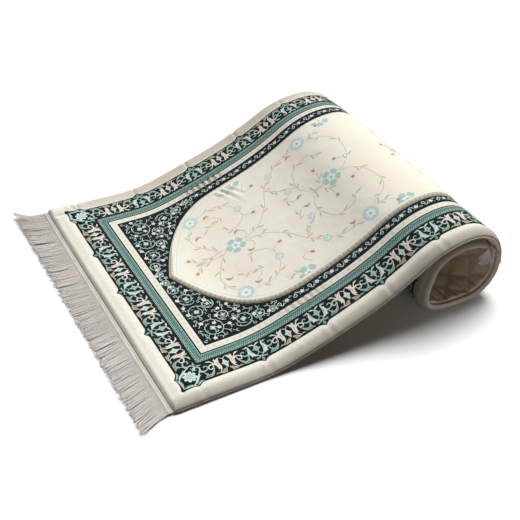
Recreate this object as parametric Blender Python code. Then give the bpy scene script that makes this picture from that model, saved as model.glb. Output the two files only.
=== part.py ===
"""A padded prayer rug: flat at its fringed end, rising, and rolled up loosely at the other. Metres, +Z up.

X runs along the rug from the flat end's fringe to the roll, Y across it. The origin is the middle
of the whole shape's footprint, on the surface that the rug lies on.

The rug is sewn from four pieces. The padded face is a printed cloth over its filling, as one filled
solid. A thin quilted cloth backs it, and shows inside the roll. A fringe trim is sewn on at each end.
"""

import math

import bpy
import numpy as np

# The rug as a maker would measure it.
WIDTH = 0.600
THICKNESS = 0.014  # face, filling and backing together
BACKING_THICKNESS = 0.0014
BACKING_INSET = 0.0025  # from the rug's side to the backing's
CLOTH_GAP = 0.0003  # between two cloths that lie together
SEAM_GAP = 0.0005  # between the padded end and a fringe's heading

# The plain border round the print, and the scalloped print edge inside it.
BORDER = 0.026
FIRST_TIP = 0.0315  # from the print's edge line to the first scallop tip
TIP_PITCH = 0.1231
TIP_COUNT = 10
OPEN_TIPS = 6  # at the full pitch, before the rest draw up a little where the rug is rolled under
TIP_PULL = 0.0012  # how far the stitching draws the side in at each tip
TIP_REACH = 0.009

# The side view, as the underside's run from the flat end. Each stretch turns evenly, upwards if positive.
# stretch, length (m), turn (degrees)
STRETCHES = (
    ("flat", 0.148, 0.0),
    ("lift", 0.086, 17.0),
    ("low_slope", 0.147, 5.0),
    ("high_slope", 0.122, 14.0),
    ("shoulder", 0.104, -36.0),
    ("curl", 0.120, -90.0),
    ("far_wall", None, 0.0),  # as long as brings the roll's outside down to the surface
    ("far_heel", 0.082, -90.0),
    ("flat_spot", 0.026, 0.0),
    ("roll_floor", 0.050, -18.0),
    ("near_heel", 0.040, -72.0),
    ("near_wall", 0.048, -18.0),
    ("tuck", 0.040, -52.0),
    ("lip", 0.082, -50.0),
)

# The rug is not quite true: the far side sags off the crest, the roll lies a little askew, and the
# flat end's far corner stands off the surface.
SAG = 0.011
SAG_FROM = 0.12  # across, from the middle
ROLL_SKEW = 0.008
CORNER_LIFT = 0.007
CORNER_REACH = 0.20

# How finely the run is cut up.
STEP_TURN = math.radians(9)
STEP_LENGTH = 0.032
LEAST_STEP = 0.0011

# The padded face's section, from the rug's side inwards. Height is a share of the thickness.
# inset from the side (m), height of the top
SECTION = (
    (0.0000, 0.42),  # the seam
    (0.0012, 0.66),
    (0.0040, 0.87),
    (0.0090, 1.00),
    (0.0180, 1.05),
    (0.0260, 0.96),  # the print's edge line
    (0.0400, 1.00),
    (0.1290, 0.94),  # the stitched edge of the field
    (0.1500, 1.05),
    (0.3000, 1.08),
)
BORDER_SWELL = (0.010, 0.025)  # the part of the section that a scallop tip's stitching pulls down
BORDER_DIP = 0.05
SWELL_FADE = 0.04  # along the run, from the flat spot to the full section
SIDE_FOOT = 0.0010  # how far the side leans in below the seam
UNDER_INSETS = (0.04, 0.09, 0.15)  # where the underside's cloths are set, besides their sides and the middle
END_ROUNDING = ((0.0000, 0.42), (0.0012, 0.66), (0.0040, 0.87), (0.0090, 1.00))

# Each fringe is a woven heading with bunches of yarn.
HEADING_LENGTH = 0.0125
FRINGE_THICKNESS = 0.0016
YARN_LENGTH = 0.050
BUNCHES = 28
BUNCH_SHARE = 0.86  # of the pitch, the rest being the gap between two bunches
BUNCH_UNEVENNESS = 0.004
BUNCH_STEPS = (0.34, 0.67, 1.0)  # shares of a bunch's length
HEADING_RISE = 0.0032  # the heading's underside above the surface, at the seam
FRONT_SPREAD = 0.018  # how far the outermost bunches spread sideways
FRONT_SETTLED = 0.72  # the share of the flat end's fringe by which it has come down to the surface
ROLLED_DROOP = 78.0  # degrees that the hidden end's yarns turn down

# colour, roughness
FACE_LOOK = ((0.80, 0.78, 0.70), 0.85)
BACKING_LOOK = ((0.30, 0.24, 0.19), 0.90)
FRINGE_LOOK = ((0.68, 0.65, 0.58), 0.90)


def clear_scene():
    for item in list(bpy.data.objects):
        bpy.data.objects.remove(item, do_unlink=True)


def cloth_material(name, look):
    (red, green, blue), roughness = look
    material = bpy.data.materials.new(name)
    material.use_nodes = True
    shader = material.node_tree.nodes["Principled BSDF"]
    shader.inputs["Base Color"].default_value = (red, green, blue, 1.0)
    shader.inputs["Roughness"].default_value = roughness
    shader.inputs["Metallic"].default_value = 0.0
    return material


# The underside's run


def step_along(x, z, heading, length, turn):
    """Where an even turn over this length ends: (x, z, heading)."""
    if abs(turn) < 1e-9:
        return x + length * math.cos(heading), z + length * math.sin(heading), heading
    radius = length / turn
    end = heading + turn
    x += radius * (math.sin(end) - math.sin(heading))
    z -= radius * (math.cos(end) - math.cos(heading))
    return x, z, end


def run_rows():
    """Each stretch by name as (start length, x, z, heading, length, turn).

    The far wall is as long as leaves the flat spot one thickness above the surface, because the rug
    lies face down there and the run follows its underside.
    """
    loose = [(name, length or 0.0, math.radians(turn)) for name, length, turn in STRETCHES]
    x, z, heading = 0.0, 0.0, 0.0
    for name, length, turn in loose:
        if name == "flat_spot":
            break
        x, z, heading = step_along(x, z, heading, length, turn)
    far_wall = z - THICKNESS
    rows, start = {}, 0.0
    x, z, heading = 0.0, 0.0, 0.0
    for name, length, turn in loose:
        if name == "far_wall":
            length = far_wall
        rows[name] = (start, x, z, heading, length, turn)
        x, z, heading = step_along(x, z, heading, length, turn)
        start += length
    return rows


ROWS = run_rows()
RUN_LENGTH = sum(length for _, _, _, _, length, _ in ROWS.values())
CREST = ROWS["curl"][2]  # the underside's highest point
CREST_X = ROWS["shoulder"][1]


def place(length_along):
    """The underside's (x, z, heading) at this length from the flat end."""
    started = [row for row in ROWS.values() if length_along >= row[0] - 1e-9]
    start, x, z, heading, length, turn = started[-1]
    done = length_along - start
    return step_along(x, z, heading, done, turn * done / length)


def face_length(length_along):
    """The same place measured on the padded face, which is longer where the rug curls under."""
    return length_along - place(length_along)[2] * THICKNESS


def under_face(on_face):
    """The underside's length below a place on the face."""
    low, high = 0.0, RUN_LENGTH
    for _ in range(40):
        middle = (low + high) / 2
        if face_length(middle) < on_face:
            low = middle
        else:
            high = middle
    return (low + high) / 2


def tips():
    """The scallop tips' places along the face."""
    first = BORDER + FIRST_TIP
    found = [first + number * TIP_PITCH for number in range(OPEN_TIPS)]
    drawn_up = TIP_COUNT - OPEN_TIPS
    pitch = (face_length(RUN_LENGTH) - first - found[-1]) / drawn_up
    return found + [found[-1] + pitch * (number + 1) for number in range(drawn_up)]


def settle(x, across, z):
    """The far side's sag, which grows with height, the lifted corner and the roll's skew."""
    beyond = max(0.0, across - SAG_FROM) / (WIDTH / 2 - SAG_FROM)
    z -= SAG * beyond**2 * (max(z, 0.0) / CREST) ** 3
    reach = CORNER_REACH if x > 0 else SEAM_GAP + HEADING_LENGTH + YARN_LENGTH
    near_corner = max(0.0, 1 - abs(x) / reach) * max(0.0, 1 - (WIDTH / 2 - across) / CORNER_REACH)
    z += CORNER_LIFT * near_corner**2
    x += ROLL_SKEW * (across / WIDTH + 0.5) * min(1.0, max(0.0, x / CREST_X)) ** 2
    return x, across, z


def stations():
    """The lengths at which the rug's section is set: the ends, the tips and even steps round each bend."""
    found = set()
    for start, _, _, _, length, turn in ROWS.values():
        count = max(math.ceil(abs(turn) / STEP_TURN), math.ceil(length / STEP_LENGTH))
        found.update(start + length * number / count for number in range(count + 1))
    for tip in tips():
        found.update(under_face(tip + side * TIP_REACH) for side in (-1, 0, 1))
    for inset, _ in END_ROUNDING:
        found.update((inset, RUN_LENGTH - inset))
    kept = []
    for value in sorted(found):
        if not kept or value - kept[-1] > LEAST_STEP:
            kept.append(value)
    kept[-1] = RUN_LENGTH
    return kept


def to_world(length_along, across, height):
    """A point at this height off the underside's run, square to it."""
    x, z, heading = place(length_along)
    return settle(x - math.sin(heading) * height, across, z + math.cos(heading) * height)


# The section


def tip_pull(on_face):
    """How much the stitching at a scallop tip draws the rug in here, from 0 to 1."""
    nearest = min(abs(on_face - tip) for tip in tips())
    return max(0.0, 1 - (nearest / TIP_REACH) ** 2)


def end_share(length_along):
    """The height that the rounded ends leave here, as a share of the thickness."""
    to_end = min(length_along, RUN_LENGTH - length_along)
    insets, shares = zip(*END_ROUNDING)
    return float(np.interp(to_end, insets, shares))


def relief_share(length_along):
    """1 where the padding swells freely, and 0 on the roll's flat spot."""
    start, _, _, _, length, _ = ROWS["flat_spot"]
    away = max(start - length_along, length_along - start - length, 0.0)
    return min(1.0, away / SWELL_FADE)


def face_ring(length_along):
    """The padded face's section as (across, height) points: over the top, then back underneath."""
    relief = relief_share(length_along)
    pull = tip_pull(face_length(length_along)) * relief
    side = WIDTH / 2 - TIP_PULL * pull
    floor = BACKING_THICKNESS + CLOTH_GAP
    swell_from, swell_to = BORDER_SWELL
    half = []
    for inset, share in SECTION:
        if inset > swell_from:
            share = 1 + (share - 1) * relief
        if swell_from < inset < swell_to:
            share -= BORDER_DIP * pull
        share = min(share, end_share(length_along))
        half.append((min(side, WIDTH / 2 - inset), THICKNESS * share))
    top = [(-across, height) for across, height in half] + half[-2::-1]
    return top + [(across, floor) for across in reversed(under_places(side - SIDE_FOOT))]


def under_places(side):
    """Where the underside's cloths are set, from one side to the other."""
    half = [side] + [WIDTH / 2 - inset for inset in UNDER_INSETS]
    return [-across for across in half] + [0.0] + half[::-1]


def backing_ring(_):
    places = under_places(WIDTH / 2 - BACKING_INSET)
    over = [(across, BACKING_THICKNESS) for across in places]
    return over + [(across, 0.0) for across in reversed(places)]


def swept(ring_at, lengths):
    """A closed body through one ring of points at each length: (points, faces).

    Every quad is split from its lower side across to its higher one, so that cloths that touch stay apart.
    """
    rings = [[to_world(length, *point) for point in ring_at(length)] for length in lengths]
    count = len(rings[0])
    points = [point for ring in rings for point in ring]
    faces = []
    for first in range(0, len(points) - count, count):
        for spot in range(count):
            one, other = first + (spot + 1) % count, first + spot
            if points[other][1] < points[one][1]:
                faces += [(one, other, one + count), (other, other + count, one + count)]
            else:
                faces += [(one, other, other + count), (one, other + count, one + count)]
    ends = end_faces(rings[0])
    last = len(points) - count
    faces += ends
    faces += [tuple(last + spot for spot in reversed(face)) for face in ends]
    return points, faces


def end_faces(ring):
    """Triangles that close a ring, in narrow strips from its upper row of points to its lower one."""
    turn = max(range(len(ring)), key=lambda spot: (ring[spot][1], ring[spot][2]))
    upper = list(range(turn + 1))
    lower = list(range(len(ring) - 1, turn, -1))
    faces = []
    while len(upper) > 1 or len(lower) > 1:
        over = len(lower) < 2 or (len(upper) > 1 and ring[upper[1]][1] < ring[lower[1]][1])
        row = upper if over else lower
        faces.append((upper[0], row[1], lower[0]))
        row.pop(0)
    return faces


# The fringes


def unevenness(number):
    """A steady spread of small differences between bunches, from -1 to 1."""
    return math.sin(number * 2.4) * 0.6 + math.sin(number * 5.1 + 1.0) * 0.4


def comb(out_at, spread):
    """One heading with its bunches, as a single layer of points and faces.

    out_at gives (x, z) at a length from the seam. The heading is one band across the rug, and each
    bunch is a strip that goes on from it, with a gap beside it.
    """
    pitch = (WIDTH - 2 * BACKING_INSET) / BUNCHES
    edges = []
    for number in range(BUNCHES):
        left = -WIDTH / 2 + BACKING_INSET + pitch * number
        edges += [left + pitch * (1 - BUNCH_SHARE) / 2, left + pitch * (1 + BUNCH_SHARE) / 2]
    edges[0], edges[-1] = -WIDTH / 2 + BACKING_INSET, WIDTH / 2 - BACKING_INSET
    points, faces = [], []
    for length in (0.0, HEADING_LENGTH):
        x, z = out_at(length)
        points += [settle(x, across, z) for across in edges]
    count = len(edges)
    faces += [(spot, spot + 1, spot + 1 + count, spot + count) for spot in range(count - 1)]
    for number in range(BUNCHES):
        longest = YARN_LENGTH + BUNCH_UNEVENNESS * (unevenness(number) - 1)
        sides = edges[2 * number : 2 * number + 2]
        above = (count + 2 * number, count + 2 * number + 1)
        for share in BUNCH_STEPS:
            x, z = out_at(HEADING_LENGTH + longest * share)
            below = (len(points), len(points) + 1)
            points += [settle(x, side * (1 + share * spread / (WIDTH / 2)), z) for side in sides]
            faces.append((*above, below[1], below[0]))
            above = below
    return points, faces


def front_out(length):
    """The flat end's fringe: level with the seam at first, and down to the surface along its yarns."""
    whole = HEADING_LENGTH + YARN_LENGTH
    drop = min(1.0, length / (whole * FRONT_SETTLED))
    rise = HEADING_RISE * (1 + math.cos(math.pi * drop)) / 2
    return -SEAM_GAP - length, rise + FRINGE_THICKNESS / 2


def rolled_out(length):
    """The rolled end's fringe: straight out of the lip, then drooping inside the roll."""
    x, z, heading = place(RUN_LENGTH)
    middle = HEADING_RISE + FRINGE_THICKNESS / 2
    x -= math.sin(heading) * middle
    z += math.cos(heading) * middle
    x, z, heading = step_along(x, z, heading, SEAM_GAP + min(length, HEADING_LENGTH), 0.0)
    hanging = max(0.0, length - HEADING_LENGTH)
    turn = -math.radians(ROLLED_DROOP) * hanging / YARN_LENGTH
    return step_along(x, z, heading, hanging, turn)[:2]


# The objects


def add_object(name, points, faces, material, shift):
    mesh = bpy.data.meshes.new(name)
    mesh.from_pydata([(x + shift, y, z) for x, y, z in points], [], faces)
    mesh.validate()
    mesh.materials.append(material)
    thing = bpy.data.objects.new(name, mesh)
    bpy.context.scene.collection.objects.link(thing)
    return thing


def smooth(thing):
    thing.data.shade_smooth()
    thing.data.set_sharp_from_angle(angle=math.radians(40))


def thicken(thing, thickness):
    solidify = thing.modifiers.new("thickness", "SOLIDIFY")
    solidify.thickness = thickness
    solidify.offset = 0.0


def footprint_shift():
    """What puts the middle of the footprint on the origin."""
    far = max(to_world(length, WIDTH / 2, THICKNESS)[0] for length in np.linspace(0, RUN_LENGTH, 400))
    near = front_out(HEADING_LENGTH + YARN_LENGTH)[0]
    return -(far + near) / 2


def build():
    clear_scene()
    shift = footprint_shift()
    lengths = stations()
    printed = cloth_material("printed_cloth", FACE_LOOK)
    smooth(add_object("padded_face", *swept(face_ring, lengths), printed, shift))
    inner = {max(BACKING_INSET, min(RUN_LENGTH - BACKING_INSET, length)) for length in lengths}
    quilted = cloth_material("quilted_cloth", BACKING_LOOK)
    smooth(add_object("backing", *swept(backing_ring, sorted(inner)), quilted, shift))
    yarn = cloth_material("yarn", FRINGE_LOOK)
    thicken(add_object("front_fringe", *comb(front_out, FRONT_SPREAD), yarn, shift), FRINGE_THICKNESS)
    thicken(add_object("rolled_fringe", *comb(rolled_out, 0.0), yarn, shift), FRINGE_THICKNESS)


build()
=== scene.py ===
# %% [markdown]
# # A padded prayer rug, partly rolled
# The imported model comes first. Everything below is placed in its frame, in metres: X runs along the
# rug from the fringe to the roll, Y goes across it, and the surface it lies on is Z = 0.

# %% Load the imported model
import math

import bpy
import numpy as np
from mathutils import Matrix, Vector


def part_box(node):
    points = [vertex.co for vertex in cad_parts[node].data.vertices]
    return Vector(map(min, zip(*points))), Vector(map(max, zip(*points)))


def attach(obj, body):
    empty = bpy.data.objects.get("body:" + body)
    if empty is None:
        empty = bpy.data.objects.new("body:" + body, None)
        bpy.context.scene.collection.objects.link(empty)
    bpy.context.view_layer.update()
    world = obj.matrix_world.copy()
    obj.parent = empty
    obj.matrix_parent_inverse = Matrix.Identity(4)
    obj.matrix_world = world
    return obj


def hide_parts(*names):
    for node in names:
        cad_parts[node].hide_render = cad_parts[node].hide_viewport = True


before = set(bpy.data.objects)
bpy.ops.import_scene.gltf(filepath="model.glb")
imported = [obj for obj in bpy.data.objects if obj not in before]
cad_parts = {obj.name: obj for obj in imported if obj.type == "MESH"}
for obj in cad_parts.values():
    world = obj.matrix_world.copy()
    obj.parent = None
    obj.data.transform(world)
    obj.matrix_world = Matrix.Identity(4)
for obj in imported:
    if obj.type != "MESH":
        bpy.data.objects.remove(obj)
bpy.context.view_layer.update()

# %% [markdown]
# ## How the rug lies
# A rug that is flat, then rises and rolls under is easiest to describe from the side, as a row of
# even turns of its underside. Every piece is then made flat, in the rug's own coordinates (how far
# along, how far across, how high off the underside), and laid on this run by one function. The
# stretches are the ones that the solid was built from, so that cloth and solid agree.

# %% The run of the underside
WIDTH = 0.600
THICKNESS = 0.014
BACKING_THICKNESS = 0.0014
CLOTH_GAP = 0.0003  # between two cloths that lie together
SEAM_GAP = 0.0005  # between the padded end and a fringe's heading
HEADING_LENGTH = 0.0125  # of a fringe's woven part
YARN_LENGTH = 0.050
FRINGE_LENGTH = SEAM_GAP + HEADING_LENGTH + YARN_LENGTH
STRAIGHT = 1e-9  # a turn, or a turn per metre, below this counts as none

# stretch, length (m), turn (degrees)
STRETCHES = (
    ("flat", 0.148, 0.0),
    ("lift", 0.086, 17.0),
    ("low_slope", 0.147, 5.0),
    ("high_slope", 0.122, 14.0),
    ("shoulder", 0.104, -36.0),
    ("curl", 0.120, -90.0),
    ("far_wall", None, 0.0),  # as long as brings the roll's outside down to the surface
    ("far_heel", 0.082, -90.0),
    ("flat_spot", 0.026, 0.0),
    ("roll_floor", 0.050, -18.0),
    ("near_heel", 0.040, -72.0),
    ("near_wall", 0.048, -18.0),
    ("tuck", 0.040, -52.0),
    ("lip", 0.082, -50.0),
)


def step_along(x, z, heading, length, turn):
    """Where an even turn over this length ends."""
    if abs(turn) < STRAIGHT:
        return x + length * math.cos(heading), z + length * math.sin(heading), heading
    radius = length / turn
    end = heading + turn
    x += radius * (math.sin(end) - math.sin(heading))
    z -= radius * (math.cos(end) - math.cos(heading))
    return x, z, end


def run_rows():
    """Each stretch as (start length, x, z, heading, length, turn)."""
    rows, start = {}, 0.0
    x, z, heading = 0.0, 0.0, 0.0
    for name, length, turn in STRETCHES:
        if length is None:
            heel = dict((row[0], row) for row in STRETCHES)["far_heel"]
            heel_drop = -step_along(0.0, 0.0, heading, heel[1], math.radians(heel[2]))[1]
            length = z - heel_drop - THICKNESS
        turn = math.radians(turn)
        rows[name] = (start, x, z, heading, length, turn)
        x, z, heading = step_along(x, z, heading, length, turn)
        start += length
    return rows


ROWS = run_rows()
RUN_LENGTH = sum(row[4] for row in ROWS.values())
START, RUN_X, RUN_Z, HEADING, LENGTHS, TURNS = np.array(list(ROWS.values())).T
RATE = TURNS / LENGTHS
CREST = ROWS["curl"][2]
CREST_X = ROWS["shoulder"][1]
ON_RUN = np.append(START, RUN_LENGTH)
ON_FACE = ON_RUN - np.append(HEADING, HEADING[-1] + TURNS[-1]) * THICKNESS
FACE_LENGTH = ON_FACE[-1]
print("run", round(RUN_LENGTH, 4), "m, face", round(FACE_LENGTH, 4), "m")

# %% [markdown]
# The run is exact: a point on an arc is worked out from the arc, so the cloth can be cut as finely
# as a piece needs. The rug isn't quite true, and `settled` gives it the far side's sag, the roll's
# small skew and the far corner that stands off the surface.

# %% From rug coordinates to the scene
SAG = 0.011  # how far the far side sags at the crest
SAG_FROM = 0.12  # how far across the sag begins
ROLL_SKEW = 0.008  # how much further along the far side lies
CORNER_LIFT = 0.007  # how high the far corner stands off the surface
CORNER_REACH = 0.20  # how far the lift reaches from the corner
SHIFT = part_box("padded_face")[0][0]  # where the flat end is on X


def on_run(length):
    """x, z and heading of the underside at these lengths from the flat end."""
    row = np.clip(np.searchsorted(START, length, side="right") - 1, 0, len(START) - 1)
    done = length - START[row]
    heading = HEADING[row] + RATE[row] * done
    bent = np.abs(RATE[row]) > STRAIGHT
    radius = np.where(bent, 1.0 / np.where(bent, RATE[row], 1.0), 0.0)
    by_sine = np.sin(heading) - np.sin(HEADING[row])
    by_cosine = np.cos(heading) - np.cos(HEADING[row])
    x = RUN_X[row] + np.where(bent, radius * by_sine, done * np.cos(heading))
    z = RUN_Z[row] - np.where(bent, radius * by_cosine, -done * np.sin(heading))
    return x, z, heading


def settled(x, across, z):
    """World points, with the sag, the lifted corner and the roll's skew."""
    x, across, z = np.broadcast_arrays(x, across, z)
    beyond = np.maximum(0.0, across - SAG_FROM) / (WIDTH / 2 - SAG_FROM)
    z = z - SAG * beyond**2 * (np.maximum(z, 0.0) / CREST) ** 3
    reach = np.where(x > 0, CORNER_REACH, FRINGE_LENGTH)
    lift = np.maximum(0.0, 1 - np.abs(x) / reach) * np.maximum(0.0, 1 - (WIDTH / 2 - across) / CORNER_REACH)
    z = z + CORNER_LIFT * lift**2
    x = x + ROLL_SKEW * (across / WIDTH + 0.5) * np.clip(x / CREST_X, 0.0, 1.0) ** 2
    return np.stack([x + SHIFT, across, z], axis=-1)


def lie_on_run(length, across, height):
    """World points at lengths measured along the underside."""
    x, z, heading = on_run(length)
    return settled(x - np.sin(heading) * height, across, z + np.cos(heading) * height)


def lie_on_face(along, across, height):
    """World points at lengths measured along the printed face."""
    return lie_on_run(np.interp(along, ON_FACE, ON_RUN), across, height)


corner = lie_on_face(np.array([0.0]), -WIDTH / 2, THICKNESS)[0]
print("the near corner of the flat end", [round(value, 4) for value in corner])

# %% [markdown]
# ## Where the print's parts are
# The print is a set of frames, each at its own inset from the rug's edge, round a pointed niche. One
# list of insets drives the colours, the stitched relief and the motifs. The outermost frame has a
# scalloped edge with a pointed tip at every repeat, and the stitching draws the padding in there.

# %% Insets and the niche
SCALLOP = 0.0322  # the print's edge between two tips
CORNER_SCALLOP = 0.0276  # the same between a corner's tips
TIP_INSET = 0.0246
TIP_HALF = 0.011  # half a tip's width at its foot
TIP_CURVE = 1.7  # above 1 the edge runs into the tip in a hollow curve
CORNER_TIP = 0.0285  # the tip on each corner's diagonal
LINE_OUT = 0.0716  # where the main border ends
TEAL_FROM = 0.0757
TEAL_TO = 0.0912
PALE_FROM = 0.0929
PALE_TO = 0.1058
NICHE_INSET = 0.130
NICHE_HALF = WIDTH / 2 - NICHE_INSET
ARCH_LENGTH = 0.200  # of the niche's pointed end
ARCH_POWER = 2.9  # how full the arch is beside its point

FIRST_TIP = 0.0575
TIP_PITCH = 0.1231
TIP_COUNT = 10
OPEN_TIPS = 6  # tips at the full pitch
END_TIP_COUNT = 5


def side_tips():
    """The scallop tips along the rug; the hidden ones draw up a little."""
    found = [FIRST_TIP + number * TIP_PITCH for number in range(OPEN_TIPS)]
    drawn_up = TIP_COUNT - OPEN_TIPS
    pitch = (FACE_LENGTH - FIRST_TIP - found[-1]) / drawn_up
    return found + [found[-1] + pitch * (number + 1) for number in range(drawn_up)]


SIDE_TIPS = np.array(side_tips())
END_TIPS = np.linspace(-WIDTH / 2 + FIRST_TIP, WIDTH / 2 - FIRST_TIP, END_TIP_COUNT)
ALL_SIDE_TIPS = np.concatenate([[CORNER_TIP], SIDE_TIPS, [FACE_LENGTH - CORNER_TIP]])
ALL_END_TIPS = np.concatenate([[CORNER_TIP - WIDTH / 2], END_TIPS, [WIDTH / 2 - CORNER_TIP]])


def niche_half_width(along):
    """Half the niche's width, from its point at the flat end."""
    share = np.clip((along - NICHE_INSET) / ARCH_LENGTH, 0.0, 1.0)
    return NICHE_HALF * (1 - (1 - share) ** ARCH_POWER)


def tip_reach(place, tip_places):
    """How near the nearest tip is: 1 on it, 0 from TIP_HALF away."""
    nearest = np.min(np.abs(np.asarray(place)[..., None] - tip_places), axis=-1)
    return np.clip(1 - nearest / TIP_HALF, 0.0, 1.0)


def scallop_inset(place, tip_places):
    """The print's edge, as an inset from the rug's edge."""
    at_corner = (place < tip_places[1]) | (place > tip_places[-2])
    between = np.where(at_corner, CORNER_SCALLOP, SCALLOP)
    return between + (TIP_INSET - between) * tip_reach(place, tip_places) ** TIP_CURVE


def insets(along, across):
    """Insets from the nearer long side and from the nearer end."""
    return WIDTH / 2 - np.abs(across), np.minimum(along, FACE_LENGTH - along)


print(len(SIDE_TIPS), "tips a side,", len(END_TIPS), "an end")

# %% [markdown]
# The niche's outline is a formula, but its edge is corded and dotted evenly along its length, so it
# is also kept as a chain of close points. The signed distance from that chain (inside is positive)
# gives a clean edge to colour and relief, however coarse the mesh is.

# %% The niche's outline as a chain
CHAIN_STEPS = 150
CHAIN_CROWDING = 1.6  # above 1 the points are closer beside the niche's point
CHAIN_END_STEPS = 40
BLOCK = 4000  # how many points are measured at a time
NICHE_END = FACE_LENGTH - NICHE_INSET


def niche_chain():
    """Points (along, across) up one half of the niche and over to the middle of its far end."""
    share = np.linspace(0, 1, CHAIN_STEPS) ** CHAIN_CROWDING
    arch = NICHE_INSET + ARCH_LENGTH * share
    straight = np.linspace(arch[-1], NICHE_END, CHAIN_STEPS)[1:]
    along = np.concatenate([arch, straight])
    side = np.stack([along, niche_half_width(along)], axis=1)
    over = np.linspace(NICHE_HALF, 0, CHAIN_END_STEPS)[1:]
    return np.concatenate([side, np.stack([np.full(len(over), NICHE_END), over], axis=1)])


CHAIN = niche_chain()
CHAIN_LENGTH = np.concatenate([[0], np.cumsum(np.linalg.norm(np.diff(CHAIN, axis=0), axis=1))])


def niche_distance(along, across):
    """(signed distance from the niche's outline, length along the outline), for arrays of points."""
    along, across = np.broadcast_arrays(along, across)
    points = np.stack([along.ravel(), np.abs(across).ravel()], axis=1)
    starts, steps = CHAIN[:-1], np.diff(CHAIN, axis=0)
    squares = (steps**2).sum(1)
    distance, length = np.empty(len(points)), np.empty(len(points))
    for first in range(0, len(points), BLOCK):
        block = slice(first, first + BLOCK)
        some = points[block, None, :]
        share = np.clip(((some - starts) * steps).sum(2) / squares, 0, 1)
        away = np.linalg.norm(some - starts - share[..., None] * steps, axis=2)
        best = away.argmin(1)
        rows = np.arange(len(best))
        distance[block] = away[rows, best]
        length[block] = CHAIN_LENGTH[:-1][best] + share[rows, best] * np.sqrt(squares[best])
    within = (points[:, 0] > NICHE_INSET) & (points[:, 0] < NICHE_END)
    within &= points[:, 1] < niche_half_width(points[:, 0])
    distance = np.where(within, distance, -distance)
    return distance.reshape(along.shape), length.reshape(along.shape)


print("half of the niche's outline is", round(CHAIN_LENGTH[-1], 3), "m long")

# %% [markdown]
# ## The padded surface
# Under the cloth is soft filling, so the surface is never flat: the plain border swells like a
# tube, the stitched edges are drawn down, the niche stands up as a cushion, and every scallop tip
# pinches a short crease across the border. These are sums of simple bumps and troughs, in the rug's
# own coordinates. A simulation could swell the padding too, but it would move the print's edges off
# the stitching, and here the stitching decides the shape.

# %% Helpers for soft shapes
def ease(value):
    """0 to 1 with soft ends."""
    value = np.clip(value, 0.0, 1.0)
    return value * value * (3 - 2 * value)


def rounded(value):
    """A quarter of a circle: steep at 0, level at 1."""
    value = np.clip(value, 0.0, 1.0)
    return np.sqrt(np.maximum(0.0, 1 - (1 - value) ** 2))


def bump(value, middle, half_width):
    """A soft bump, 1 at its middle."""
    return np.exp(-(((value - middle) / half_width) ** 2))


def swell(value, start, end):
    """A soft arch between two places, 0 outside them."""
    share = np.clip((value - start) / (end - start), 0.0, 1.0)
    return np.sin(np.pi * share) ** 2


# %% The height of the printed face
SEAM_SHARE = 0.42  # the height of the side's seam, as a share of the thickness
FLAT_SPOT = ROWS["flat_spot"]
PRESSED_REACH = 0.05  # how far from the flat spot the padding is pressed
# half width (m) and depth (a share of the thickness) of the creases at the tips
NEAR_CREASE = (0.0060, 0.05)
FAR_CREASE = (0.0024, 0.15)
END_CREASE = (0.0060, 0.08)
CREASE_TO = 0.034  # the inset where a crease has faded out
RIDGE_TO = 0.030  # the same for the ridges beside it
PUCKER_PITCH = 0.0128
PUCKER_ALONG = (0.228, 0.378)
PUCKER_INSET = (0.080, 0.120)


def free_share(along):
    """1 where the padding swells freely, 0 where the roll's weight presses it flat."""
    length = np.interp(along, ON_FACE, ON_RUN)
    away = np.maximum(FLAT_SPOT[0] - length, length - FLAT_SPOT[0] - FLAT_SPOT[4])
    return ease(away / PRESSED_REACH)


def tip_creases(along, across):
    """The pinched creases at the scallop tips, as a share of the thickness taken off."""
    side, end = insets(along, across)
    nearest = np.min(np.abs(along[..., None] - SIDE_TIPS), axis=-1)
    width, depth = [np.where(across < 0, near, far) for near, far in zip(NEAR_CREASE, FAR_CREASE)]
    crease = depth * bump(nearest, 0.0, width) * ease((CREASE_TO - side) / 0.012)
    crease -= 0.05 * bump(nearest, 0.009, 0.005) * ease((RIDGE_TO - side) / 0.010)
    width, depth = END_CREASE
    nearest = np.min(np.abs(across[..., None] - END_TIPS), axis=-1)
    return crease * (end > CREASE_TO) + depth * bump(nearest, 0.0, width) * bump(end, 0.028, 0.006)


def puckers(along, side):
    """Ripples across the inner frames, where the rug starts to bend and the stitching holds."""
    window = swell(along, *PUCKER_ALONG) * swell(side, *PUCKER_INSET)
    return window * np.sin(2 * np.pi * along / PUCKER_PITCH)


# %% Single folds
# start, end (along, across), length, height of the swell beside it, depth and width of the fold
FIELD_CREASES = (
    ((0.318, 0.158), (0.343, 0.080), 0.078, 0.21, 0.12, 0.0026),
    ((0.333, 0.156), (0.359, 0.080), 0.062, 0.14, 0.09, 0.0026),
    ((0.303, 0.158), (0.325, 0.095), 0.050, 0.12, 0.07, 0.0026),
)
# folds from the far corner's ears to the rug's edges, in the same order
CORNER_CREASES = (
    ((0.046, 0.272), (0.046, 0.300), 0.050, 0.12, 0.34, 0.0042),
    ((0.028, 0.266), (0.000, 0.272), 0.052, 0.12, 0.30, 0.0042),
)
FOLD_START = 0.006  # a fold comes in over this length
FOLD_BOW = 0.004  # how far it bows to one side
FOLD_LIP = 0.0040  # how far beside it the swell is
SWELL_HALF = 0.0050


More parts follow.
